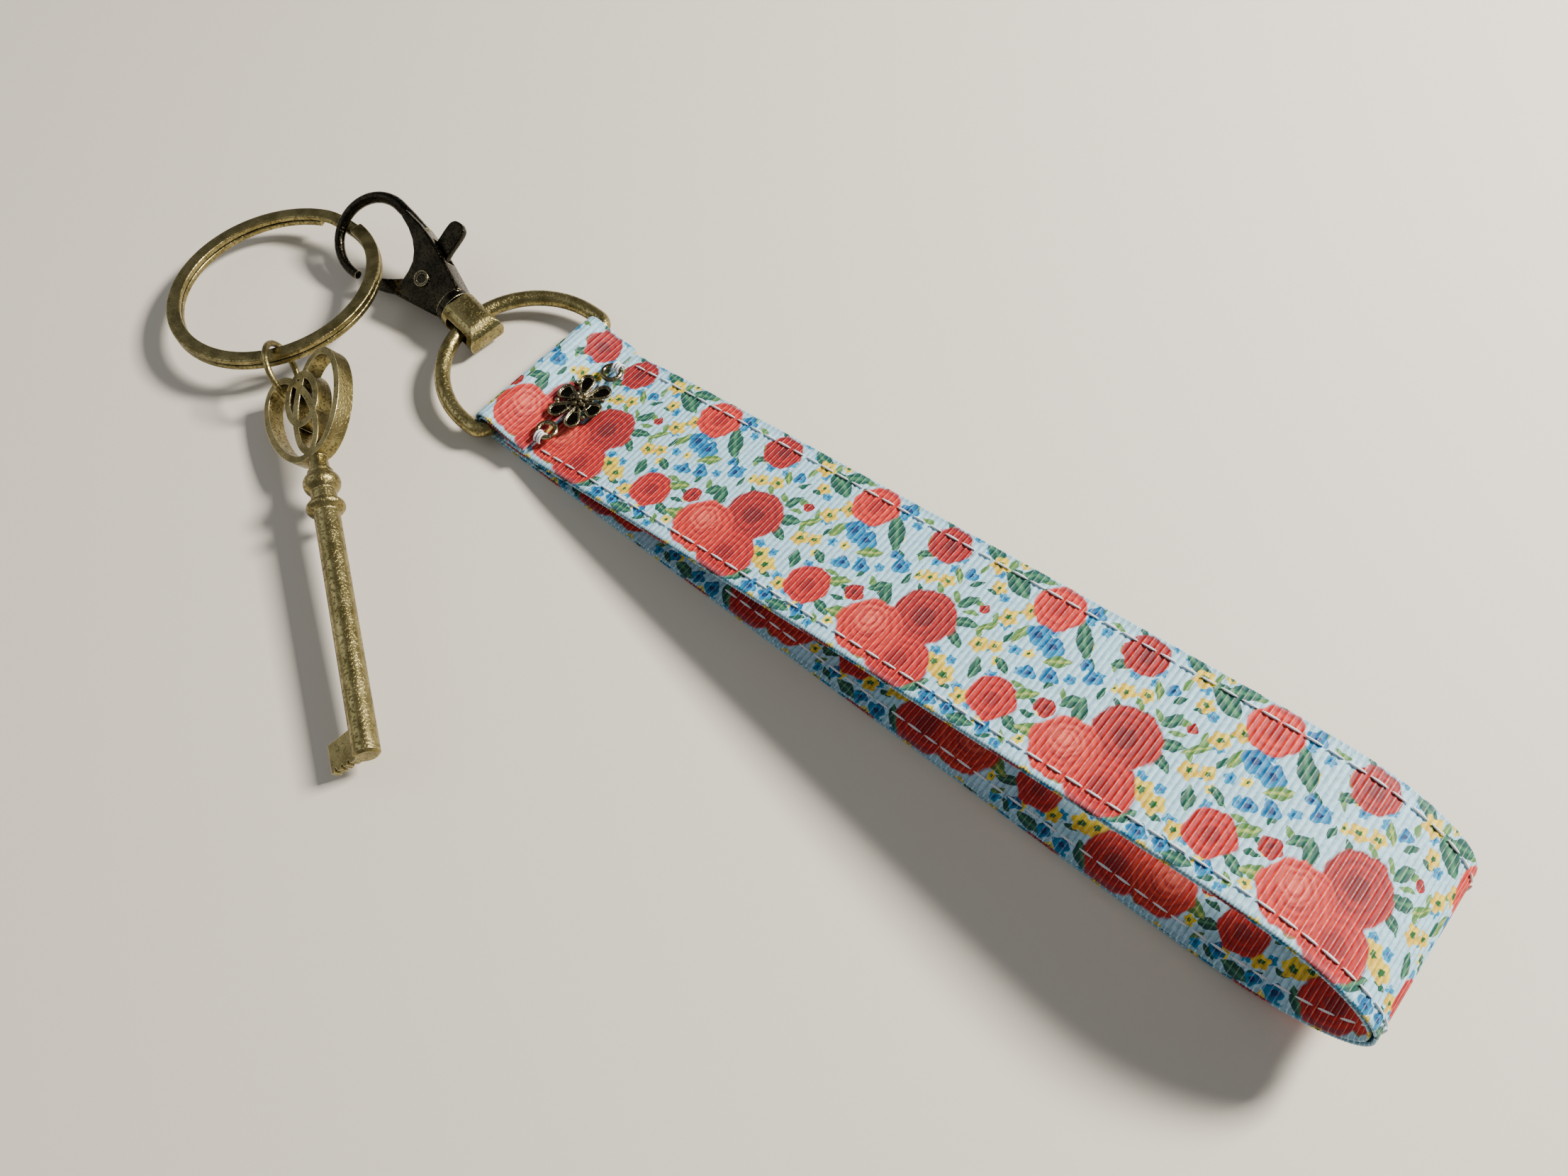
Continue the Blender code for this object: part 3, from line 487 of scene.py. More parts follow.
@dataclass(frozen=True)
class RibbonPrint:
    """Ribbed ribbon with a repeating flower print. Its ribs and place come from an attribute."""

    name: str
    ground: Colour = (0.40, 0.68, 0.83, 1)
    # Colour of the painted highlight on the rib crests.
    crest_highlight: Colour = (0.93, 0.96, 0.98, 1)
    dark_leaf: Colour = (0.006, 0.085, 0.045, 1)
    pale_leaf: Colour = (0.10, 0.24, 0.05, 1)
    # Colour of the painted shade in the grooves between ribs.
    groove_shade: Colour = (0.05, 0.09, 0.14, 1)
    # Colour of the painted shade in the gaps between edge loops.
    selvedge_gap_shade: Colour = (0.02, 0.11, 0.15, 1)
    rib_pitch: float = 0.85
    filler_cell: float = 2.7

    @staticmethod
    def after(graph: Graph, colour: Any, place: Any) -> Any:
        """The same place, but worked out after a colour, so that few values are held at once."""
        hair = (1e-6, 1e-6, 1e-6)
        node = graph.add("ShaderNodeVectorMath", colour, hair, place, operation="MULTIPLY_ADD")
        return node.outputs[0]

    def printed(self, graph: Graph, groups: Groups, place: Any) -> Any:
        """The colour of the print at a place."""
        colour: Any = self.ground
        values = (place, self.filler_cell)
        filler = graph.add("ShaderNodeGroup", *values, node_tree=groups.scatter)
        flower, heart, blade, kind = filler.outputs[:4]
        greens = graph.mix(graph.math("GREATER_THAN", kind, 0.8), self.pale_leaf, self.dark_leaf)
        colour = graph.mix(blade, colour, greens)
        yellow, blue = Palette.YELLOW.value, Palette.BLUE.value
        is_blue = graph.math("GREATER_THAN", kind, 0.24)
        petals = graph.mix(is_blue, yellow[1], blue[1])
        petals = graph.mix(heart, petals, graph.mix(is_blue, yellow[2], blue[0]))
        colour = graph.mix(flower, colour, petals)
        for leaf in LEAVES:
            here = self.after(graph, colour, place)
            values = (here, leaf.along, leaf.across, leaf.length, leaf.width, leaf.angle)
            node = graph.add("ShaderNodeGroup", *values, node_tree=groups.leaf)
            green = (0.006, 0.075, 0.045, 1) if leaf.dark else (0.07, 0.19, 0.03, 1)
            pale = (0.05, 0.20, 0.09, 1) if leaf.dark else (0.30, 0.40, 0.07, 1)
            fill = graph.mix(node.outputs[1], green, pale)
            colour = graph.mix(node.outputs[0], colour, fill)
        for bloom in BLOOMS:
            here = self.after(graph, colour, place)
            shape = (bloom.along, bloom.across, bloom.radius)
            folds = (bloom.petals, bloom.depth, bloom.swirl)
            node = graph.add("ShaderNodeGroup", here, *shape, *folds, node_tree=groups.bloom)
            dark, light, heart = bloom.palette.value
            fill = graph.mix(node.outputs[1], dark, light)
            fill = graph.mix(node.outputs[2], fill, heart)
            colour = graph.mix(node.outputs[0], colour, fill)
        return colour

    def material(self, groups: Groups) -> bpy.types.Material:
        """The material."""
        made, graph, shader = new_material(self.name, self.ground)
        strip = graph.add("ShaderNodeAttribute", attribute_name="strip").outputs["Vector"]
        warp = graph.add("ShaderNodeTexNoise", strip, None, 0.55, 3.0).outputs[1]
        offset = graph.add("ShaderNodeVectorMath", warp, (0.5, 0.5, 0.5), operation="SUBTRACT")
        scaled = graph.add("ShaderNodeVectorMath", offset.outputs[0], operation="SCALE")
        scaled.inputs["Scale"].default_value = 1.1
        place = graph.add("ShaderNodeVectorMath", strip, scaled.outputs[0], operation="ADD")
        colour = self.printed(graph, groups, place.outputs[0])
        blotch = graph.ramp(graph.noise(strip, 1.6, 4.0), 0.3, 0.7, 0.82, 1.12)
        parts = graph.add("ShaderNodeSeparateXYZ", strip).outputs
        shading = graph.add("ShaderNodeCombineXYZ", blotch, blotch, blotch).outputs[0]
        colour = graph.mix(1.0, colour, shading, "MULTIPLY")
        phase = graph.math("PINGPONG", graph.math("DIVIDE", parts[2], self.rib_pitch), 0.5)
        # Painted highlight: a pale line along each rib crest, broken up by noise.
        crest_highlight = graph.ramp(phase, 0.02, 0.12, 0.27, 0.0)
        broken = graph.ramp(graph.noise(strip, 3.2, 2.0), 0.35, 0.65, 0.45, 1.0)
        crest_highlight = graph.math("MULTIPLY", crest_highlight, broken)
        colour = graph.mix(crest_highlight, colour, self.crest_highlight)
        # Painted shade: the grooves between ribs darkened.
        groove_shade = graph.ramp(phase, 0.30, 0.5, 0.0, 0.42)
        colour = graph.mix(groove_shade, colour, self.groove_shade)
        # Painted shade: dark gaps between the loops of the woven edges.
        side = graph.math("ABSOLUTE", parts[1])
        edge = graph.ramp(side, 11.55, 12.2, 0.0, 0.45)
        loops = graph.math("PINGPONG", graph.math("DIVIDE", parts[2], self.rib_pitch / 2), 0.5)
        edge = graph.math("MULTIPLY", edge, graph.ramp(loops, 0.1, 0.4))
        colour = graph.mix(edge, colour, self.selvedge_gap_shade)
        graph.feed(shader["Base Color"], colour)
        shader["Roughness"].default_value = 0.5
        shader["Specular IOR Level"].default_value = 0.22
        fibre = graph.add("ShaderNodeMapping", strip)
        fibre.inputs["Scale"].default_value = (9.0, 1.2, 1.0)
        bump = graph.add("ShaderNodeBump", 0.2, 0.0001)
        graph.feed(bump.inputs["Height"], graph.noise(fibre.outputs[0], 3.0, 3.0))
        graph.feed(shader["Normal"], bump.outputs[0])
        return made


# ---------------------------------------------------------------- meshes
class Mesher:
    """Makes meshes from curves, turned profiles and Booleans."""

    def __init__(self) -> None:
        """Make the collection that helpers pass through."""
        self.bench = bpy.data.collections.new("bench")
        bpy.context.scene.collection.children.link(self.bench)

    def baked(self, obj: bpy.types.Object, weld: bool = True) -> bpy.types.Mesh:
        """The evaluated mesh of a helper, which is then removed."""
        bpy.context.view_layer.update()
        graph = bpy.context.evaluated_depsgraph_get()
        mesh = bpy.data.meshes.new_from_object(obj.evaluated_get(graph))
        bpy.data.objects.remove(obj)
        if weld:
            shape = bmesh.new()
            shape.from_mesh(mesh)
            bmesh.ops.remove_doubles(shape, verts=shape.verts, dist=0.000002)
            bmesh.ops.recalc_face_normals(shape, faces=shape.faces)
            shape.to_mesh(mesh)
            shape.free()
        return mesh

    def helper(self, data: Any) -> bpy.types.Object:
        """A helper object for some data."""
        obj = bpy.data.objects.new("helper", data)
        self.bench.objects.link(obj)
        return obj

    def tube(
        self,
        points: list[Point],
        radius: float,
        cyclic: bool = False,
        resolution: int = 4,
        radii: list[float] | None = None,
        section: list[Pair] | None = None,
    ) -> bpy.types.Mesh:
        """A tube along points.

        Args:
            points: The centre line.
            radius: The tube's radius, unless a section is given.
            cyclic: Whether the tube closes on itself.
            resolution: The roundness of the tube.
            radii: A factor on the radius at each point.
            section: The outline of another section than a round one.

        Returns:
            The closed mesh.
        """
        curve = bpy.data.curves.new("tube", "CURVE")
        curve.dimensions = "3D"
        curve.use_fill_caps = True
        profile = None
        if section:
            curve.twist_mode = "Z_UP"
            outline = bpy.data.curves.new("section", "CURVE")
            outline.dimensions = "2D"
            self.spline(outline, [(x, y, 0.0) for x, y in section], True)
            profile = self.helper(outline)
            curve.bevel_mode = "OBJECT"
            curve.bevel_object = profile
        else:
            curve.bevel_depth = radius
            curve.bevel_resolution = resolution
        spline = self.spline(curve, points, cyclic)
        for index, factor in enumerate(radii or []):
            spline.points[index].radius = factor
        mesh = self.baked(self.helper(curve))
        if profile:
            bpy.data.objects.remove(profile)
        return mesh

    @staticmethod
    def spline(curve: bpy.types.Curve, points: list[Point], cyclic: bool) -> bpy.types.Spline:
        """A straight-sided spline through points."""
        spline = curve.splines.new("POLY")
        spline.points.add(len(points) - 1)
        for index, place in enumerate(points):
            spline.points[index].co = (*place, 1.0)
        spline.use_cyclic_u = cyclic
        return spline

    def slab(
        self, outlines: list[list[Pair]], low: float, high: float, bevel: float = 0.0
    ) -> bpy.types.Mesh:
        """A plate between two heights, with an optional bevel on its edges."""
        curve = bpy.data.curves.new("slab", "CURVE")
        curve.dimensions = "2D"
        curve.fill_mode = "BOTH"
        curve.extrude = (high - low) / 2 - bevel
        curve.bevel_depth = bevel
        curve.bevel_resolution = 2
        curve.offset = -bevel
        for outline in outlines:
            self.spline(curve, [(x, y, 0.0) for x, y in outline], True)
        mesh = self.baked(self.helper(curve))
        mesh.transform(Matrix.Translation((0, 0, (high + low) / 2)))
        return mesh

    def turned(self, profile: list[Pair], segments: int = 40) -> bpy.types.Mesh:
        """A shape turned about X from (x, radius) pairs."""
        line = bpy.data.meshes.new("profile")
        line.from_pydata(
            [(radius, 0.0, place) for place, radius in profile],
            [(i, i + 1) for i in range(len(profile) - 1)],
            [],
        )
        obj = self.helper(line)
        screw = obj.modifiers.new("turn", "SCREW")
        screw.axis = "Z"
        screw.steps = segments
        screw.render_steps = segments
        screw.use_merge_vertices = True
        screw.merge_threshold = 0.00001
        mesh = self.baked(obj)
        mesh.transform(Matrix.Rotation(pi / 2, 4, "Y"))
        return mesh

    @staticmethod
    def cylinder(
        radius: float, start: float, end: float, along_x: bool = True, segments: int = 48
    ) -> bpy.types.Mesh:
        """A cylinder about X or Z, between two places on it."""
        shape = bmesh.new()
        bmesh.ops.create_cone(
            shape,
            cap_ends=True,
            segments=segments,
            radius1=radius,
            radius2=radius,
            depth=end - start,
        )
        mesh = bpy.data.meshes.new("cylinder")
        shape.to_mesh(mesh)
        shape.free()
        mesh.transform(Matrix.Translation((0, 0, (start + end) / 2)))
        if along_x:
            mesh.transform(Matrix.Rotation(pi / 2, 4, "Y"))
        return mesh

    @staticmethod
    def ball(radius: float, centre: Point, flatten: float = 1.0) -> bpy.types.Mesh:
        """A ball at a centre, its height scaled by flatten."""
        shape = bmesh.new()
        bmesh.ops.create_uvsphere(shape, u_segments=20, v_segments=12, radius=radius)
        mesh = bpy.data.meshes.new("ball")
        shape.to_mesh(mesh)
        shape.free()
        mesh.transform(Matrix.Diagonal((1, 1, flatten, 1)))
        mesh.transform(Matrix.Translation(centre))
        return mesh

    def combined(
        self, first: bpy.types.Mesh, steps: list[tuple[str, bpy.types.Mesh]]
    ) -> bpy.types.Mesh:
        """Apply (operation, mesh) Boolean steps to a mesh, in order."""
        body = self.helper(first)
        tools = []
        for operation, mesh in steps:
            tool = self.helper(mesh)
            tools.append(tool)
            step = body.modifiers.new("step", "BOOLEAN")
            step.operation = operation
            step.solver = "EXACT"
            step.object = tool
        mesh = self.baked(body, weld=False)
        for tool in tools:
            bpy.data.objects.remove(tool)
        return mesh


def joined(meshes: list[bpy.types.Mesh]) -> bpy.types.Mesh:
    """Several closed meshes as one."""
    shape = bmesh.new()
    for mesh in meshes:
        shape.from_mesh(mesh)
    made = bpy.data.meshes.new("joined")
    shape.to_mesh(made)
    shape.free()
    return made


@dataclass
class Workshop:
    """What every sub-assembly needs: meshing, materials, and the way pieces are declared."""

    mesher: Mesher
    materials: dict[Slot, bpy.types.Material]
    wire: bpy.types.Material

    def piece(
        self,
        name: str,
        mesh: bpy.types.Mesh,
        body: Body,
        slot: Slot,
        nodes: tuple[str, ...],
        where: Matrix | None = None,
        angle: float = 35.0,
    ) -> bpy.types.Object:
        """Make a mesh a piece of the model.

        Args:
            name: The piece's name.
            mesh: Its mesh.
            body: The body it rides on.
            slot: Its material slot.
            nodes: The CAD nodes it stands for.
            where: Where its mesh goes.
            angle: The angle over which an edge is sharp, in degrees.

        Returns:
            The object, at the origin.
        """
        if where is not None:
            mesh.transform(where)
        mesh.materials.clear()
        mesh.materials.append(self.materials[slot])
        mesh.shade_smooth()
        mesh.set_sharp_from_angle(angle=radians(angle))
        obj = bpy.data.objects.new(name, mesh)
        bpy.context.scene.collection.objects.link(obj)
        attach(obj, body.value)
        if nodes:
            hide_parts(*nodes)
        LOG.info("%s: %d faces", name, len(mesh.polygons))
        return obj


def placed(origin: Any, heading: float, pitch: float, roll: float) -> Matrix:
    """A frame turned by heading, tipped up by pitch, then rolled about its X."""
    turn = Euler((roll, -pitch, heading), "XYZ").to_matrix().to_4x4()
    return Matrix.Translation(origin) @ turn


def facing(origin: Point, normal: Point) -> Matrix:
    """A frame at an origin, its Z along a normal."""
    turn = Vector((0, 0, 1)).rotation_difference(Vector(normal)).to_matrix().to_4x4()
    return Matrix.Translation(origin) @ turn


def arc(centre: Pair, radius: float, start: float, sweep: float, steps: int) -> list[Pair]:
    """Points of an arc about a centre, both ends included."""
    made = []
    for index in range(steps + 1):
        angle = start + sweep * index / steps
        made.append((centre[0] + radius * cos(angle), centre[1] + radius * sin(angle)))
    return made


def raised(points: list[Pair], height: float = 0.0) -> list[Point]:
    """Points of a plane as points in space, at a height."""
    return [(x, y, height) for x, y in points]


def turned_about(points: list[Pair], centre: Pair, angle: float) -> list[Pair]:
    """Points of a plane turned about a centre."""
    made = []
    for x, y in points:
        along, across = x - centre[0], y - centre[1]
        turned_x = centre[0] + along * cos(angle) - across * sin(angle)
        turned_y = centre[1] + along * sin(angle) + across * cos(angle)
        made.append((turned_x, turned_y))
    return made


def ellipse(centre: Pair, axes: Pair, tilt: float, points: int = 72) -> list[Pair]:
    """Points of a tilted ellipse in a plane."""
    made = []
    for index in range(points):
        angle = 2 * pi * index / points
        along = axes[0] * cos(angle)
        across = axes[1] * sin(angle)
        x = centre[0] + along * cos(tilt) - across * sin(tilt)
        y = centre[1] + along * sin(tilt) + across * cos(tilt)
        made.append((x, y))
    return made


def rounded_box(low: float, high: float, half: float, corner: float, points: int = 8) -> list[Pair]:
    """Outline of a box from low to high and plus or minus half, with round corners."""
    made = []
    for x, y, start in (
        (high - corner, half - corner, 0),
        (low + corner, half - corner, 90),
        (low + corner, corner - half, 180),
        (high - corner, corner - half, 270),
    ):
        for index in range(points):
            angle = radians(start + 90 * index / (points - 1))
            made.append((x + corner * cos(angle), y + corner * sin(angle)))
    return made


def smoothed(outline: list[Pair], rounds: int = 2) -> list[Pair]:
    """An outline with its corners cut, which rounds it."""
    for _ in range(rounds):
        cut = []
        for index, (x, y) in enumerate(outline):
            next_x, next_y = outline[(index + 1) % len(outline)]
            cut.append((0.8 * x + 0.2 * next_x, 0.8 * y + 0.2 * next_y))
            cut.append((0.2 * x + 0.8 * next_x, 0.2 * y + 0.8 * next_y))
        outline = cut
    return outline


# ---------------------------------------------------------------- the strap
STITCH_SEED = 7


@dataclass
class Strap:
    """The two ribbons sewn as one loop, with their stitching."""

    shop: Workshop
    width: float = 0.025
    thickness: float = 0.00045
    gap: float = 0.0003
    bar: Pair = (-0.0675, 0.0027)
    fold_radius: float = 0.0021
    rib_pitch: float = 0.00085
    rib_depth: float = 0.00011
    rows_per_rib: int = 6
    print_origin: float = 0.00183
    stitch_pitch: float = 0.0027
    stitch_inset: float = 0.0021
    stitch_radius: float = 0.00017
    stitch_lift: float = 0.00010
    inner_shift: float = 0.011

    def route(self) -> np.ndarray:
        """Side view of the middle of the ribbons, from the flap's end to the other end."""
        floor = self.thickness + self.gap / 2
        start = [(-0.0595, 0.0034), (-0.06135, 0.0034), (-0.0632, 0.0036)]
        start += arc(self.bar, self.fold_radius, pi / 2, pi, 28)
        start += [(x, floor) for x in (-0.050, -0.020, 0.010)]
        knots = (
            (0.030, floor),
            (0.0440, floor),
            (0.0530, 0.00075),
            (0.0625, 0.0017),
            (0.0695, 0.0038),
            (0.0741, 0.0070),
            (0.0758, 0.0107),
            (0.0742, 0.0145),
            (0.0695, 0.0177),
            (0.0625, 0.0195),
            (0.0540, 0.0194),
            (0.0430, 0.0181),
            (0.0200, 0.0149),
            (-0.0050, 0.0112),
            (-0.0300, 0.0073),
            (-0.0480, 0.0043),
            (-0.0560, 0.0027),
            (-0.0602, 0.0020),
            (-0.0640, 0.0020),
        )
        curve = []
        padded = (knots[0], *knots, (-0.068, knots[-1][1]))
        for index in range(1, len(padded) - 2):
            a, b, c, d = (np.array(p) for p in padded[index - 1 : index + 3])
            for step in range(16):
                t = step / 16
                cubic = (3 * b - a - 3 * c + d) * t**3
                square = (2 * a - 5 * b + 4 * c - d) * t * t
                curve.append((2 * b + (c - a) * t + square + cubic) / 2)
        return np.array([*start, *curve, knots[-1]])

    @staticmethod
    def normals(line: np.ndarray) -> np.ndarray:
        """Outward normals of a side view."""
        step = np.gradient(line, axis=0)
        step /= np.linalg.norm(step, axis=1)[:, None]
        return np.stack([step[:, 1], -step[:, 0]], axis=1)

    @staticmethod
    def resampled(line: np.ndarray, step: float) -> tuple[np.ndarray, np.ndarray]:
        """A line at even steps, and the distance along it at each."""
        spans = np.linalg.norm(np.diff(line, axis=0), axis=1)
        along = np.concatenate([[0.0], np.cumsum(spans)])
        count = round(along[-1] / step)
        places = np.linspace(0, along[-1], count + 1)
        even = np.stack([np.interp(places, along, line[:, k]) for k in range(2)], axis=1)
        return even, places

    def ribbon(self, name: str, node: str, offset: float, shift: float) -> None:
        """Make one ribbon with its ribs, woven edges and print coordinates.

        Args:
            name: The piece's name.
            node: The CAD node it stands for.
            offset: How far it lies outside the middle of the two.
            shift: How far its print is moved along it, in metres.
        """
        middle = self.route()
        middle = middle + self.normals(middle) * offset
        line, along = self.resampled(middle, self.rib_pitch / self.rows_per_rib)
        normal = self.normals(line)
        phase = 2 * pi * along / self.rib_pitch
        rib = (0.5 + 0.5 * np.cos(phase)) ** 0.8
        half = self.width / 2 / MM
        side = np.array([half, 12.42, 12.2, 11.9, 11.6, 11.35, 11.0, 8.5, 5.0, 1.7])
        across = np.concatenate([-side, side[::-1]]) * MM
        weave_at = ([0, 11.2, 11.45, 11.7, 12.3, 12.5], [1, 1, 0.2, 0.8, 0.7, 0])
        weave = np.interp(np.abs(across) / MM, *weave_at)
        height = self.thickness / 2 - self.rib_depth * (1 - rib[:, None] * weave[None, :])
        height[:, 0] = height[:, -1] = self.thickness * 0.12
        twin = 0.5 + 0.5 * np.cos(2 * phase)
        edge = np.interp(np.abs(across) / MM, [0, 12.0, 12.5], [0, 0, 0.00011])
        places = across[None, :] * np.ones((len(line), 1))
        places -= np.sign(across)[None, :] * edge[None, :] * (1 - twin[:, None])
        faces_out = []
        for sign in (1, -1):
            x = line[:, 0:1] + sign * normal[:, 0:1] * height
            z = line[:, 1:2] + sign * normal[:, 1:2] * height
            grid = np.stack([x, places, z], axis=-1)
            faces_out.append(grid if sign == 1 else grid[:, ::-1])
        section = np.concatenate(faces_out, axis=1)
        rows, columns = section.shape[:2]
        top_rows = np.nonzero(line[:, 1] > 0.006)[0]
        anchor = top_rows[np.argmin(np.abs(line[top_rows, 0] - self.print_origin))]
        print_place = (along[anchor] - along + shift) / MM
        index = np.arange(rows * columns).reshape(rows, columns)
        a = index[:-1]
        b = index[1:]
        quads = np.stack([a, b, np.roll(b, -1, axis=1), np.roll(a, -1, axis=1)], axis=-1)
        mesh = bpy.data.meshes.new(name)
        half_columns = columns // 2
        caps = []
        for row, flip in ((0, False), (rows - 1, True)):
            for k in range(half_columns - 1):
                cap = [index[row, k], index[row, k + 1], index[row, -k - 2], index[row, -k - 1]]
                caps.append(cap[::-1] if flip else cap)
        faces = np.concatenate([quads.reshape(-1, 4), np.array(caps)])
        mesh.from_pydata(section.reshape(-1, 3).tolist(), [], faces.tolist())
        strip = np.zeros((rows, columns, 3), np.float32)
        strip[:, :, 0] = print_place[:, None]
        strip[:, :half_columns, 1] = across / MM
        strip[:, half_columns:, 1] = across[::-1] / MM
        strip[:, :, 2] = along[:, None] / MM
        attribute = mesh.attributes.new("strip", "FLOAT_VECTOR", "POINT")
        attribute.data.foreach_set("vector", strip.ravel())
        shape = bmesh.new()
        shape.from_mesh(mesh)
        bmesh.ops.recalc_face_normals(shape, faces=shape.faces)
        shape.to_mesh(mesh)
        shape.free()
        obj = self.shop.piece(name, mesh, Body.STRAP, Slot.RIBBON, (node,), angle=70)

    def stitch_tree(self) -> bpy.types.NodeTree:
        """A Geometry Nodes tree that sets stitches along a line."""
        tree = bpy.data.node_groups.new("stitches", "GeometryNodeTree")
        tree.interface.new_socket("Geometry", in_out="INPUT", socket_type="NodeSocketGeometry")
        for label in ("Pitch", "Half Length", "Radius"):
            tree.interface.new_socket(label, in_out="INPUT", socket_type=FLOAT)
        tree.interface.new_socket("Seed", in_out="INPUT", socket_type="NodeSocketInt")
        tree.interface.new_socket("Material", in_out="INPUT", socket_type="NodeSocketMaterial")
        tree.interface.new_socket("Geometry", in_out="OUTPUT", socket_type="NodeSocketGeometry")
        graph = Graph(tree)
        start = graph.add("NodeGroupInput").outputs
        end = graph.add("NodeGroupOutput")
        curve = graph.add("GeometryNodeMeshToCurve", start[0]).outputs[0]
        even = graph.add("GeometryNodeResampleCurve", mode="LENGTH")
        graph.feed(even.inputs["Curve"], curve)
        graph.feed(even.inputs["Length"], start[1])
        tangent = graph.add("GeometryNodeInputTangent").outputs[0]
        turn = graph.add("FunctionNodeAlignRotationToVector", axis="Z")
        graph.feed(turn.inputs["Vector"], tangent)
        ball = graph.add("GeometryNodeMeshUVSphere", 8, 6, 1.0)
        size = graph.add("ShaderNodeCombineXYZ", start[3], start[3], start[2]).outputs[0]
        vary = graph.add("FunctionNodeRandomValue", data_type="FLOAT")
        graph.feed(vary.inputs[2], 0.9)
        graph.feed(vary.inputs[3], 1.08)
        graph.feed(vary.inputs["Seed"], start[4])
        scaled = graph.add("ShaderNodeVectorMath", size, operation="SCALE")
        graph.feed(scaled.inputs["Scale"], vary.outputs[1])
        copies = graph.add("GeometryNodeInstanceOnPoints")
        graph.feed(copies.inputs["Points"], even.outputs[0])
        graph.feed(copies.inputs["Instance"], ball.outputs[0])
        graph.feed(copies.inputs["Rotation"], turn.outputs[0])
        graph.feed(copies.inputs["Scale"], scaled.outputs[0])
        real = graph.add("GeometryNodeRealizeInstances", copies.outputs[0]).outputs[0]
        last = graph.add("GeometryNodeSetMaterial", real)
        graph.feed(last.inputs["Material"], start[5])
        graph.feed(end.inputs[0], last.outputs[0])
        return tree

    def stitches(self, tree: bpy.types.NodeTree) -> None:
        """Make the rows of stitches on both faces, both sides."""
        middle = self.route()
        normal = self.normals(middle)
        lift = self.thickness + self.gap / 2 + self.stitch_lift
        first = int(np.argmax(middle[:, 0] > 0.040))
        for kind, sign in (("needle", 1), ("bobbin", -1)):
            line = middle + sign * lift * normal
            if kind == "needle":
                keep = np.arange(len(line)) >= first
                keep &= (line[:, 1] > 0.0030) & (line[:, 0] > -0.0570)
            else:
                keep = (line[:, 0] > -0.0500) & (np.arange(len(line)) > 30)
            line = line[keep]
            for side, sign_y in (("left", -1), ("right", 1)):
                y = sign_y * (self.width / 2 - self.stitch_inset)
                path = bpy.data.meshes.new("path")
                points = [(x, y, z) for x, z in line]
                path.from_pydata(points, [(i, i + 1) for i in range(len(points) - 1)], [])
                obj = self.shop.mesher.helper(path)
                modifier = obj.modifiers.new("stitches", "NODES")
                modifier.node_group = tree
                sizes = (self.stitch_pitch, self.stitch_pitch * 0.43, self.stitch_radius)
                values = (*sizes, STITCH_SEED, self.shop.materials[Slot.THREAD])
                sockets = [s for s in tree.interface.items_tree if s.in_out == "INPUT"]
                for socket, value in zip(sockets[1:], values):
                    modifier[socket.identifier] = value
                mesh = self.shop.mesher.baked(obj, weld=False)
                self.shop.piece(
                    f"{kind}_stitches_{side}",
                    mesh,
                    Body.STRAP,
                    Slot.THREAD,
                    (f"{kind}_thread_{side}",),
                    angle=80,
                )

    def build(self) -> None:
        """Make the ribbons and the stitching."""
        offset = (self.thickness + self.gap) / 2
        self.ribbon("printed_ribbon_outer", "outer_ribbon", offset, 0.0)
        self.ribbon("printed_ribbon_inner", "inner_ribbon", -offset, self.inner_shift)
        self.stitches(self.stitch_tree())


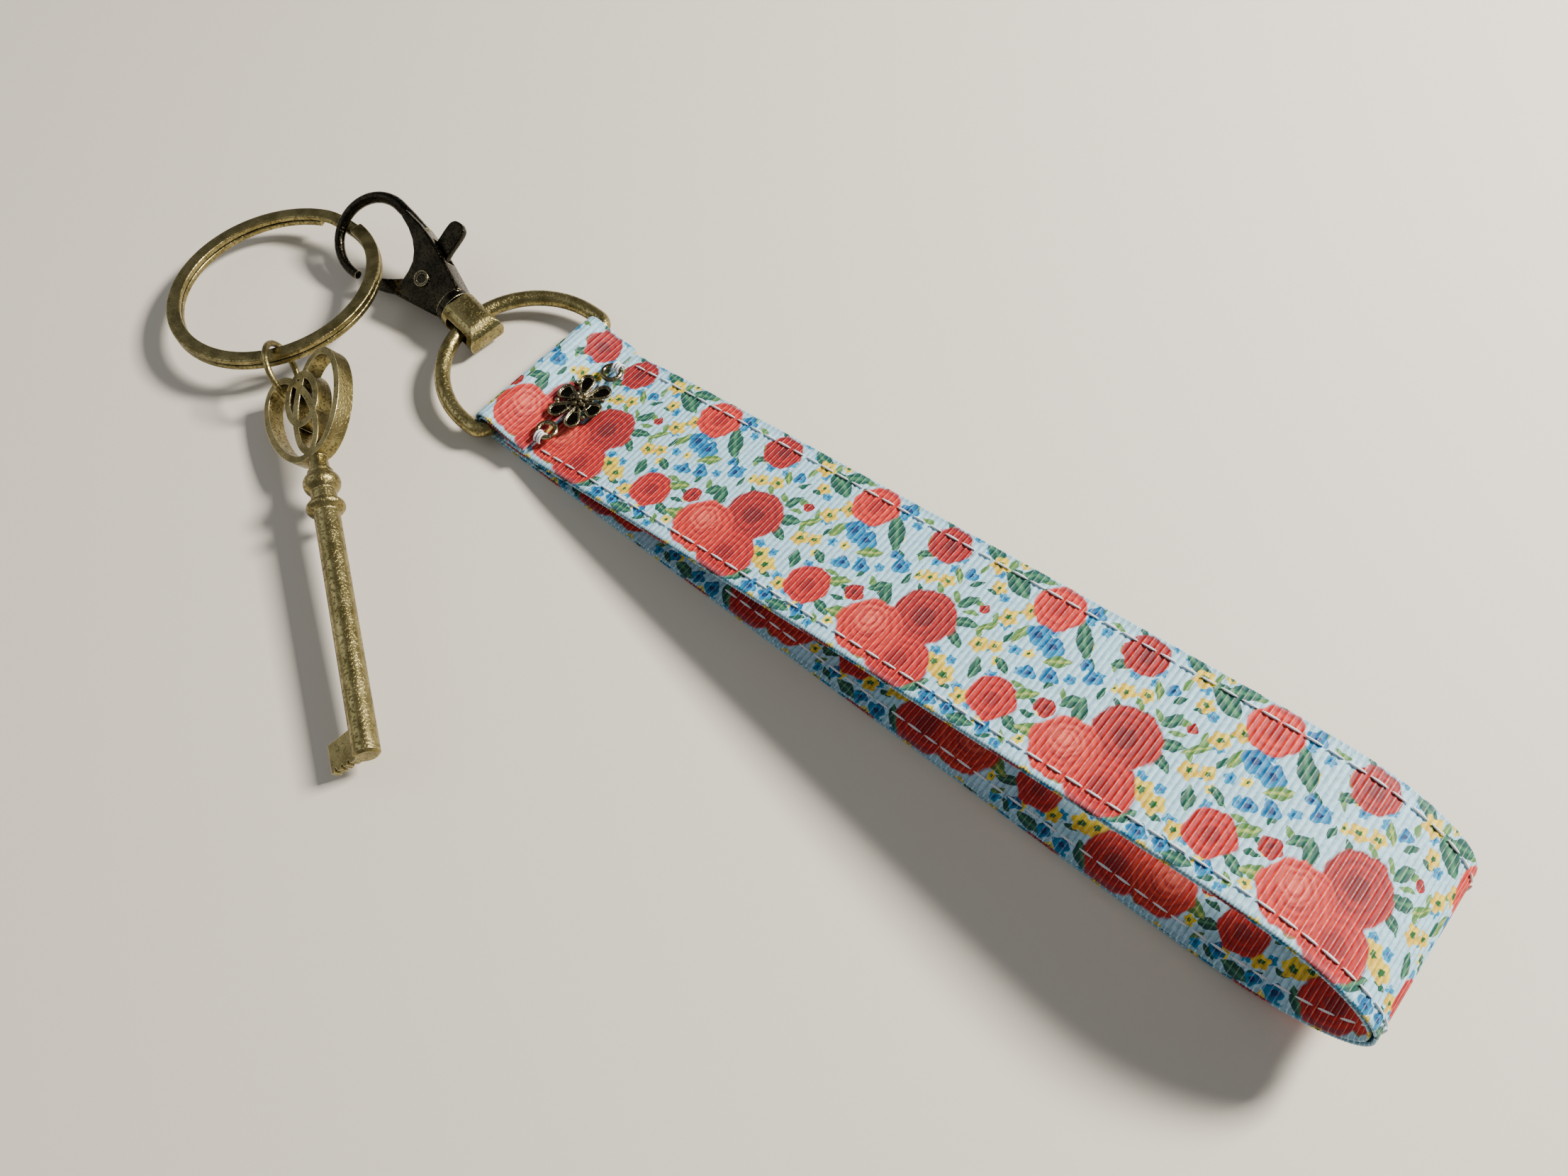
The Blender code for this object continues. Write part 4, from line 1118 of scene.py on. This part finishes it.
# ---------------------------------------------------------------- the charm
@dataclass
class Charm:
    """The filigree connector sewn over the flap."""

    shop: Workshop
    centre: Point = (-0.0587, -0.0009, 0.0043)
    span: float = 0.0141
    loop: float = 0.0014
    petal_wire: float = 0.00021

    @staticmethod
    def petal(angle: float, length: float, width: float) -> list[Pair]:
        """Outline of a teardrop whose point is at the middle."""
        points = []
        for index in range(28):
            turn = 2 * pi * index / 28
            along = 0.00095 + length / 2 * (1 + cos(turn))
            across = width / 2 * sin(turn) * (0.62 + 0.38 * cos(turn))
            x = along * cos(angle) - across * sin(angle)
            y = along * sin(angle) + across * cos(angle)
            points.append((x, y))
        return points

    def build(self) -> None:
        """Make the casting and the stitches through its loops."""
        mesher = self.shop.mesher
        meshes = []
        plates = [mesher.slab([ellipse((0, 0), (0.0022, 0.0019), 0, 40)], 0.0001, 0.0004)]
        for angle, length, width in (
            (90, 0.0029, 0.0036),
            (270, 0.0029, 0.0036),
            (26, 0.0040, 0.0030),
            (-26, 0.0040, 0.0030),
            (154, 0.0040, 0.0030),
            (206, 0.0040, 0.0030),
        ):
            outline = self.petal(radians(angle), length, width)
            plates.append(mesher.slab([outline], 0.0001, 0.00038))
            wire = raised(outline, 0.00050)
            meshes.append(mesher.tube(wire, self.petal_wire, cyclic=True, resolution=2))
        meshes.append(mesher.ball(0.00062, (0, 0, 0.00110)))
        for seed in raised(arc((0, 0), 0.00098, 0, 2 * pi, 6)[:-1], 0.00088):
            meshes.append(mesher.ball(0.00048, seed))
        for x in (-1, 1):
            for y in (-1, 1):
                meshes.append(mesher.ball(0.00042, (x * 0.0021, y * 0.0027, 0.0006)))
        for side in (-1, 1):
            ring = raised(arc((side * self.span / 2, 0), self.loop, 0, 2 * pi, 32)[:-1], 0.00045)
            meshes.append(mesher.tube(ring, 0.0004, cyclic=True, resolution=3))
        where = Matrix.Translation(self.centre) @ Matrix.Rotation(pi / 2, 4, "Z")
        floor = sum(len(mesh.polygons) for mesh in plates)
        whole = joined([*plates, *meshes])
        charm = self.shop.piece(
            "filigree_charm", whole, Body.STRAP, Slot.BRONZE, ("charm",), where
        )
        charm.data.materials.append(self.shop.wire)
        for face in whole.polygons[floor:]:
            face.material_index = 1
        for name, side in (("left", -1), ("right", 1)):
            middle = self.centre[1] + side * (self.span / 2 + self.loop)
            bars = []
            for x in (-0.0005, 0.0, 0.00045):
                points = []
                for index in range(17):
                    angle = pi * index / 16
                    y = middle + (0.00075 + abs(x) * 0.3) * cos(angle)
                    z = self.centre[2] - 0.0001 + 0.0011 * sin(angle)
                    points.append((self.centre[0] + x, y, z))
                bars.append(mesher.tube(points, 0.00016, resolution=2))
            self.shop.piece(
                f"charm_sewing_{name}",
                joined(bars),
                Body.STRAP,
                Slot.THREAD,
                (f"charm_stitch_{name}",),
            )


# ---------------------------------------------------------------- the metalwork
@dataclass
class Hardware:
    """The D-ring and the swivel clasp."""

    shop: Workshop
    bar: Pair = (-0.0675, 0.0027)
    half_width: float = 0.01395
    side: float = 0.0030
    apex_z: float = 0.0036
    wire: float = 0.00125
    heading: float = radians(175)
    pitch: float = radians(8.7)
    roll: float = radians(-29.3)
    rivet: Pair = (0.0103, 0.0001)
    hook: Pair = (0.0233, 0.0010)
    hook_radius: float = 0.0067
    hook_end: float = radians(106)
    gate_swing: float = radians(12)

    def d_frame(self) -> Matrix:
        """At the bar, X pointing out to the round side."""
        tilt = asin((self.apex_z - self.bar[1]) / (self.side + self.half_width))
        return placed((self.bar[0], 0, self.bar[1]), pi, tilt, 0)

    def clasp_frame(self, roll: float) -> Matrix:
        """At the D-ring's wire, X pointing out along the clasp."""
        origin = self.d_frame() @ Vector((self.side + self.half_width, 0, 0))
        return placed(origin, self.heading, self.pitch, roll)

    def d_ring(self) -> None:
        """The round wire bent to a D."""
        corner = 0.0018
        inner = self.half_width - corner
        points = arc((corner, -inner), corner, pi, pi / 2, 8)
        points += arc((self.side, 0), self.half_width, -pi / 2, pi, 72)
        points += arc((corner, inner), corner, pi / 2, pi / 2, 8)
        mesh = self.shop.mesher.tube(raised(points), self.wire, cyclic=True, resolution=6)
        self.shop.piece(
            "d_ring_wire", mesh, Body.D_RING, Slot.BRASS, ("d_ring",), self.d_frame()
        )

    def eye(self) -> None:
        """The stirrup that hangs on the D-ring."""
        mesher = self.shop.mesher
        shell = mesher.cylinder(0.0033, -0.0043, 0.0030, segments=64)
        quarter = Matrix.Rotation(pi / 2, 4, "X")
        keep = mesher.slab([rounded_box(-0.0045, 0.0050, 0.00285, 0.0024)], -0.005, 0.005)
        keep.transform(quarter)
        tunnel = mesher.slab([rounded_box(-0.0031, 0.00202, 0.00165, 0.0006)], -0.005, 0.005)
        tunnel.transform(quarter)
        bore = mesher.cylinder(0.0011, 0.001, 0.006)
        steps = [("INTERSECT", keep), ("DIFFERENCE", tunnel), ("DIFFERENCE", bore)]
        self.shop.piece(
            "swivel_stirrup",
            mesher.combined(shell, steps),
            Body.EYE,
            Slot.BRASS,
            ("swivel_eye",),
            self.clasp_frame(0),
        )

    @staticmethod
    def body_outline() -> list[Pair]:
        """Plan of the clasp's body and waist."""
        return [
            (0.0041, -0.0029),
            (0.0090, -0.0044),
            (0.0136, -0.0056),
            (0.0168, -0.0061),
            (0.0205, -0.0062),
            (0.0205, -0.0049),
            (0.0182, -0.0043),
            (0.0163, -0.0034),
            (0.0148, -0.0022),
            (0.0138, -0.0009),
            (0.0133, 0.0008),
            (0.0131, 0.0026),
            (0.0131, 0.0044),
            (0.0124, 0.0051),
            (0.0041, 0.0029),
        ]

    @staticmethod
    def lever_outline(grow: float = 0.0) -> list[Pair]:
        """Plan of the gate and thumb lever."""
        g = grow
        return [
            (0.0086 - g, 0.0018 + g),
            (0.0084 - g, -0.0010),
            (0.0106 - g, -0.0045),
            (0.0109 - g, -0.0090),
            (0.0113 - g, -0.0100 - g),
            (0.0124, -0.0105 - g),
            (0.0137 + g, -0.0102 - g),
            (0.0143 + g, -0.0092),
            (0.0138 + g, -0.0045),
            (0.0124 + g, -0.0012),
            (0.0124 + g, 0.0005 - g),
            (0.0160, 0.0040 - g),
            (0.0205 + g, 0.0068 - g),
            (0.0202 + g, 0.0081 + g),
            (0.0150, 0.0062 + g),
            (0.0105, 0.0029 + g),
        ]

    def rivet_hole(self) -> bpy.types.Mesh:
        """The cutter of the hole that the rivet goes through."""
        hole = self.shop.mesher.cylinder(0.0010, -0.01, 0.01, along_x=False, segments=32)
        hole.transform(Matrix.Translation((*self.rivet, 0)))
        return hole

    def clasp(self) -> None:
        """The cast body, its hook, and the gate lever in its slot."""
        mesher = self.shop.mesher
        frame_here = self.clasp_frame(self.roll)
        plate = mesher.slab([self.body_outline()], -0.00205, 0.00205, 0.00035)
        collar = mesher.cylinder(0.0031, 0.0032, 0.0046, segments=64)
        points = [(0.0165, -0.0053), (0.0200, -0.0056)]
        points += arc(self.hook, self.hook_radius, -pi / 2, pi / 2 + self.hook_end, 54)
        radii = [1 - 0.25 * i / (len(points) - 1) for i in range(len(points))]
        hook = mesher.tube(raised(points), 0.0010, resolution=5, radii=radii)
        steps = [("UNION", collar), ("UNION", hook)]
        for index in range(4):
            turn = -self.gate_swing * index / 3
            outline = turned_about(self.lever_outline(0.0003), self.rivet, turn)
            steps.append(("DIFFERENCE", mesher.slab([outline], -0.0015, 0.0011)))
        steps.append(("DIFFERENCE", self.rivet_hole()))
        self.shop.piece(
            "clasp_casting",
            mesher.combined(plate, steps),
            Body.CLASP,
            Slot.BRONZE,
            ("clasp_body",),
            frame_here,
        )
        lever = mesher.slab([smoothed(self.lever_outline())], -0.0013, -0.0001, 0.0002)
        lever = mesher.combined(lever, [("DIFFERENCE", self.rivet_hole())])
        self.shop.piece(
            "gate_and_lever", lever, Body.GATE, Slot.BRONZE, ("gate_lever",), frame_here
        )

    def rivet_and_spring(self) -> None:
        """The rivet with its domed heads and the coil spring behind the gate."""
        mesher = self.shop.mesher
        where = self.clasp_frame(self.roll) @ Matrix.Translation((*self.rivet, 0))
        head = [(0.0021, 0.0008), (0.0021, 0.0014), (0.0024, 0.00128), (0.0024, 0.00105)]
        head += [(0.00225, 0.00085), (0.0023, 0.0)]
        profile = [(-x, radius) for x, radius in reversed(head)] + head
        mesh = mesher.turned(profile, 32)
        mesh.transform(Matrix.Rotation(-pi / 2, 4, "Y"))
        self.shop.piece("rivet_heads", mesh, Body.CLASP, Slot.BRONZE, ("lever_rivet",), where)
        points = [(0.0026, -0.0026, 0.00018), (0.0014, -0.0016, 0.00018)]
        for index in range(61):
            angle = -pi / 4 + 4 * pi * index / 60
            height = 0.00018 + 0.00036 * index / 60
            points.append((0.0012 * cos(angle), 0.0012 * sin(angle), height))
        points.append((0.0026, 0.0006, 0.00054))
        mesh = mesher.tube(points, 0.00015, resolution=2)
        self.shop.piece("gate_spring", mesh, Body.CLASP, Slot.STEEL, ("lever_spring",), where)

    def build(self) -> None:
        """Make all the pieces."""
        self.d_ring()
        self.eye()
        self.clasp()
        self.rivet_and_spring()


@dataclass
class Rings:
    """The split ring and the jump ring."""

    shop: Workshop
    centre: Point = (-0.11365, -0.01545, 0.00515)
    slope: Pair = (0.098, 0.005)
    outer: float = 0.0175
    band: float = 0.0022
    layer: float = 0.0009
    pitch: float = 0.00104
    jump_centre: Point = (-0.09863, -0.02605, 0.00515)
    jump_normal: Point = (0.592, 0.766, 0.252)
    jump_radius: float = 0.0045
    jump_wire: float = 0.0005

    def build(self) -> None:
        """Make both rings."""
        mesher = self.shop.mesher
        middle = self.outer - self.band / 2
        points = []
        first, last, count = 113, 805, 346
        for index in range(count + 1):
            turn = first + (last - first) * index / count
            part = min(max((turn - 447) / 24, 0.0), 1.0)
            height = self.pitch * (part * part * (3 - 2 * part) - 0.5)
            angle = radians(turn)
            points.append((middle * cos(angle), middle * sin(angle), height))
        section = rounded_box(-self.band / 2, self.band / 2, self.layer / 2, 0.00022, 4)
        mesh = mesher.tube(points, 0, section=section)
        where = facing(self.centre, (-self.slope[0], -self.slope[1], 1))
        self.shop.piece("split_ring_wire", mesh, Body.SPLIT, Slot.BRASS, ("split_ring",), where)
        circle = raised(arc((0, 0), self.jump_radius, 0, 2 * pi, 80)[:-1])
        mesh = mesher.tube(circle, self.jump_wire, cyclic=True, resolution=4)
        where = facing(self.jump_centre, self.jump_normal)
        self.shop.piece("jump_ring_wire", mesh, Body.JUMP, Slot.BRASS, ("jump_ring",), where)


@dataclass
class SkeletonKey:
    """The decorative key."""

    shop: Workshop
    neck: Point = (-0.07988, -0.03402, 0.00625)
    heading: float = radians(147.2)
    pitch: float = radians(1.7)
    roll: float = radians(-31.5)
    wall: float = 0.0011
    height: float = 0.0027
    shank: float = 0.00185
    stem_end: float = -0.0483
    bit_edge: float = -0.0482

    def band(self, centre: Pair, axes: Pair, tilt: float) -> bpy.types.Mesh:
        """A standing wall that follows an ellipse."""
        half = self.wall / 2
        outer = ellipse(centre, (axes[0] + half, axes[1] + half), tilt)
        inner = ellipse(centre, (axes[0] - half, axes[1] - half), tilt)
        return self.shop.mesher.slab([outer, inner], -self.height / 2, self.height / 2)

    def bead(self, place: float, radius: float, half_length: float) -> list[Pair]:
        """(x, radius) pairs of a turned bead."""
        made = []
        for index in range(15):
            angle = pi * (index + 0.5) / 15
            x = place + half_length * cos(angle)
            made.append((x, max(self.shank, radius * sin(angle))))
        return made

    def build(self) -> None:
        """Make the key as one casting."""
        mesher = self.shop.mesher
        profile = [(0.0016, 0.0), (0.0016, 0.0013), (-0.0016, 0.0015)]
        profile += self.bead(-0.0041, 0.0027, 0.0021) + self.bead(-0.0084, 0.0028, 0.0013)
        end = self.stem_end
        profile += [(-0.0108, self.shank), (end + 0.0004, self.shank)]
        profile += [(end, self.shank - 0.0004), (end, 0.0)]
        stem = mesher.turned(profile, 40)
        tilt = radians(16.4)
        steps = []
        for side in (1, -1):
            lobe = self.band((0.0092, side * 0.0028), (0.0084, 0.00435), side * tilt)
            steps.append(("UNION", lobe))
        steps.append(("UNION", self.band((0.0114, 0.0), (0.0044, 0.0030), 0.0)))
        edge = self.bit_edge
        flag = [(-0.0434, 0.0), (-0.0440, 0.0060), (edge, 0.0060)]
        for place in (0.0052, 0.0040, 0.0028):
            flag += [(edge, place + 0.00035), (-0.0475, place), (edge, place - 0.00035)]
        flag.append((edge, 0.0))
        steps.append(("UNION", mesher.slab([flag], -0.00065, 0.00065)))
        where = placed(self.neck, self.heading, self.pitch, self.roll)
        self.shop.piece(
            "skeleton_key", mesher.combined(stem, steps), Body.KEY, Slot.BRASS, ("key",), where
        )


# ---------------------------------------------------------------- the studio
@dataclass
class Studio:
    """The floor, the lights and the camera."""

    place: Point = (0.04649, -0.07207, 0.16003)
    right: Point = (0.76599, 0.64240, -0.02398)
    up: Point = (-0.54867, 0.67275, 0.49635)
    back: Point = (0.33498, -0.36704, 0.86779)
    lens: float = 29.54

    def camera(self) -> None:
        """Set the camera."""
        data = bpy.data.cameras.new("camera")
        data.lens = self.lens
        data.sensor_width = 36.0
        data.clip_start = 0.005
        obj = bpy.data.objects.new("camera", data)
        turn = Matrix((self.right, self.up, self.back)).transposed().to_4x4()
        obj.matrix_world = Matrix.Translation(self.place) @ turn
        bpy.context.scene.collection.objects.link(obj)
        bpy.context.scene.camera = obj

    def floor(self) -> None:
        """A plain pale floor."""
        size = 3.0
        mesh = bpy.data.meshes.new("floor")
        mesh.from_pydata(
            [(-size, -size, 0), (size, -size, 0), (size, size, 0), (-size, size, 0)],
            [],
            [(0, 1, 2, 3)],
        )
        obj = bpy.data.objects.new("floor", mesh)
        obj.location.z = -0.00005
        bpy.context.scene.collection.objects.link(obj)
        paint = (0.70, 0.65, 0.56, 1)
        made, graph, shader = new_material("floor_paint", paint)
        graph.feed(shader["Base Color"], paint)
        graph.feed(shader["Roughness"], 0.8)
        mesh.materials.append(made)

    def light(self, name: str, place: Point, size: float, power: float, colour: Point) -> None:
        """One area light turned to the middle of the object."""
        data = bpy.data.lights.new(name, "AREA")
        data.size = size
        data.energy = power
        data.color = colour
        obj = bpy.data.objects.new(name, data)
        aim = (Vector((-0.02, 0.0, 0.0)) - Vector(place)).to_track_quat("-Z", "Y")
        obj.matrix_world = Matrix.Translation(place) @ aim.to_matrix().to_4x4()
        bpy.context.scene.collection.objects.link(obj)

    def build(self) -> None:
        """Set up everything that isn't the object."""
        self.camera()
        self.floor()
        self.light("key_light", (0.24, 0.40, 0.42), 0.13, 11.0, (1.0, 0.95, 0.87))
        self.light("fill_light", (-0.45, -0.30, 0.40), 0.5, 0.8, (0.92, 0.96, 1.0))
        world = bpy.data.worlds.new("studio")
        world.use_nodes = True
        background = world.node_tree.nodes["Background"]
        background.inputs[0].default_value = (0.95, 0.97, 1.0, 1)
        background.inputs[1].default_value = 0.20
        bpy.context.scene.world = world


def finishes(groups: Groups) -> dict[Slot, bpy.types.Material]:
    """The material of each slot."""
    brass = MetalFinish(
        "antique_brass",
        base=(0.36, 0.30, 0.130, 1),
        tint=(0.20, 0.165, 0.062, 1),
        rubbed=(0.86, 0.76, 0.42, 1),
        grime_and_shade=(0.022, 0.018, 0.008, 1),
        roughness=0.30,
    )
    bronze = MetalFinish(
        "dark_bronze",
        base=(0.026, 0.022, 0.014, 1),
        tint=(0.014, 0.012, 0.008, 1),
        rubbed=(0.80, 0.70, 0.42, 1),
        grime_and_shade=(0.004, 0.004, 0.003, 1),
        roughness=0.20,
        speckle=0.15,
        rounding=0.20,
    )
    steel = MetalFinish(
        "spring_steel",
        base=(0.40, 0.39, 0.35, 1),
        tint=(0.30, 0.29, 0.26, 1),
        rubbed=(0.8, 0.8, 0.76, 1),
        grime_and_shade=(0.08, 0.08, 0.07, 1),
        roughness=0.33,
    )
    thread = ThreadFinish("thread", (0.86, 0.88, 0.90, 1), (0.55, 0.62, 0.68, 1))
    return {
        Slot.RIBBON: RibbonPrint("printed_ribbon").material(groups),
        Slot.THREAD: thread.material(),
        Slot.BRASS: brass.material(groups),
        Slot.BRONZE: bronze.material(groups),
        Slot.STEEL: steel.material(groups),
    }


def dress_swivel_post(brass: bpy.types.Material) -> None:
    """Give the swivel post, the one CAD node that still shows, its finish."""
    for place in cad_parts["swivel_post"].material_slots:
        place.material = brass


def main() -> None:
    """Build the visual model and the studio."""
    logging.basicConfig(level=logging.INFO, format="%(name)s: %(message)s")
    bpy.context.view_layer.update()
    groups = Groups(repeat=29.7)
    wire = MetalFinish(
        "rubbed_wire",
        base=(0.24, 0.20, 0.11, 1),
        tint=(0.10, 0.085, 0.05, 1),
        rubbed=(0.42, 0.36, 0.22, 1),
        grime_and_shade=(0.010, 0.009, 0.006, 1),
        roughness=0.26,
        reach=0.0008,
    )
    shop = Workshop(Mesher(), finishes(groups), wire.material(groups))
    Hardware(shop).build()
    Strap(shop).build()
    Charm(shop).build()
    Rings(shop).build()
    SkeletonKey(shop).build()
    dress_swivel_post(shop.materials[Slot.BRASS])
    Studio().build()


if __name__ == "__main__":
    main()
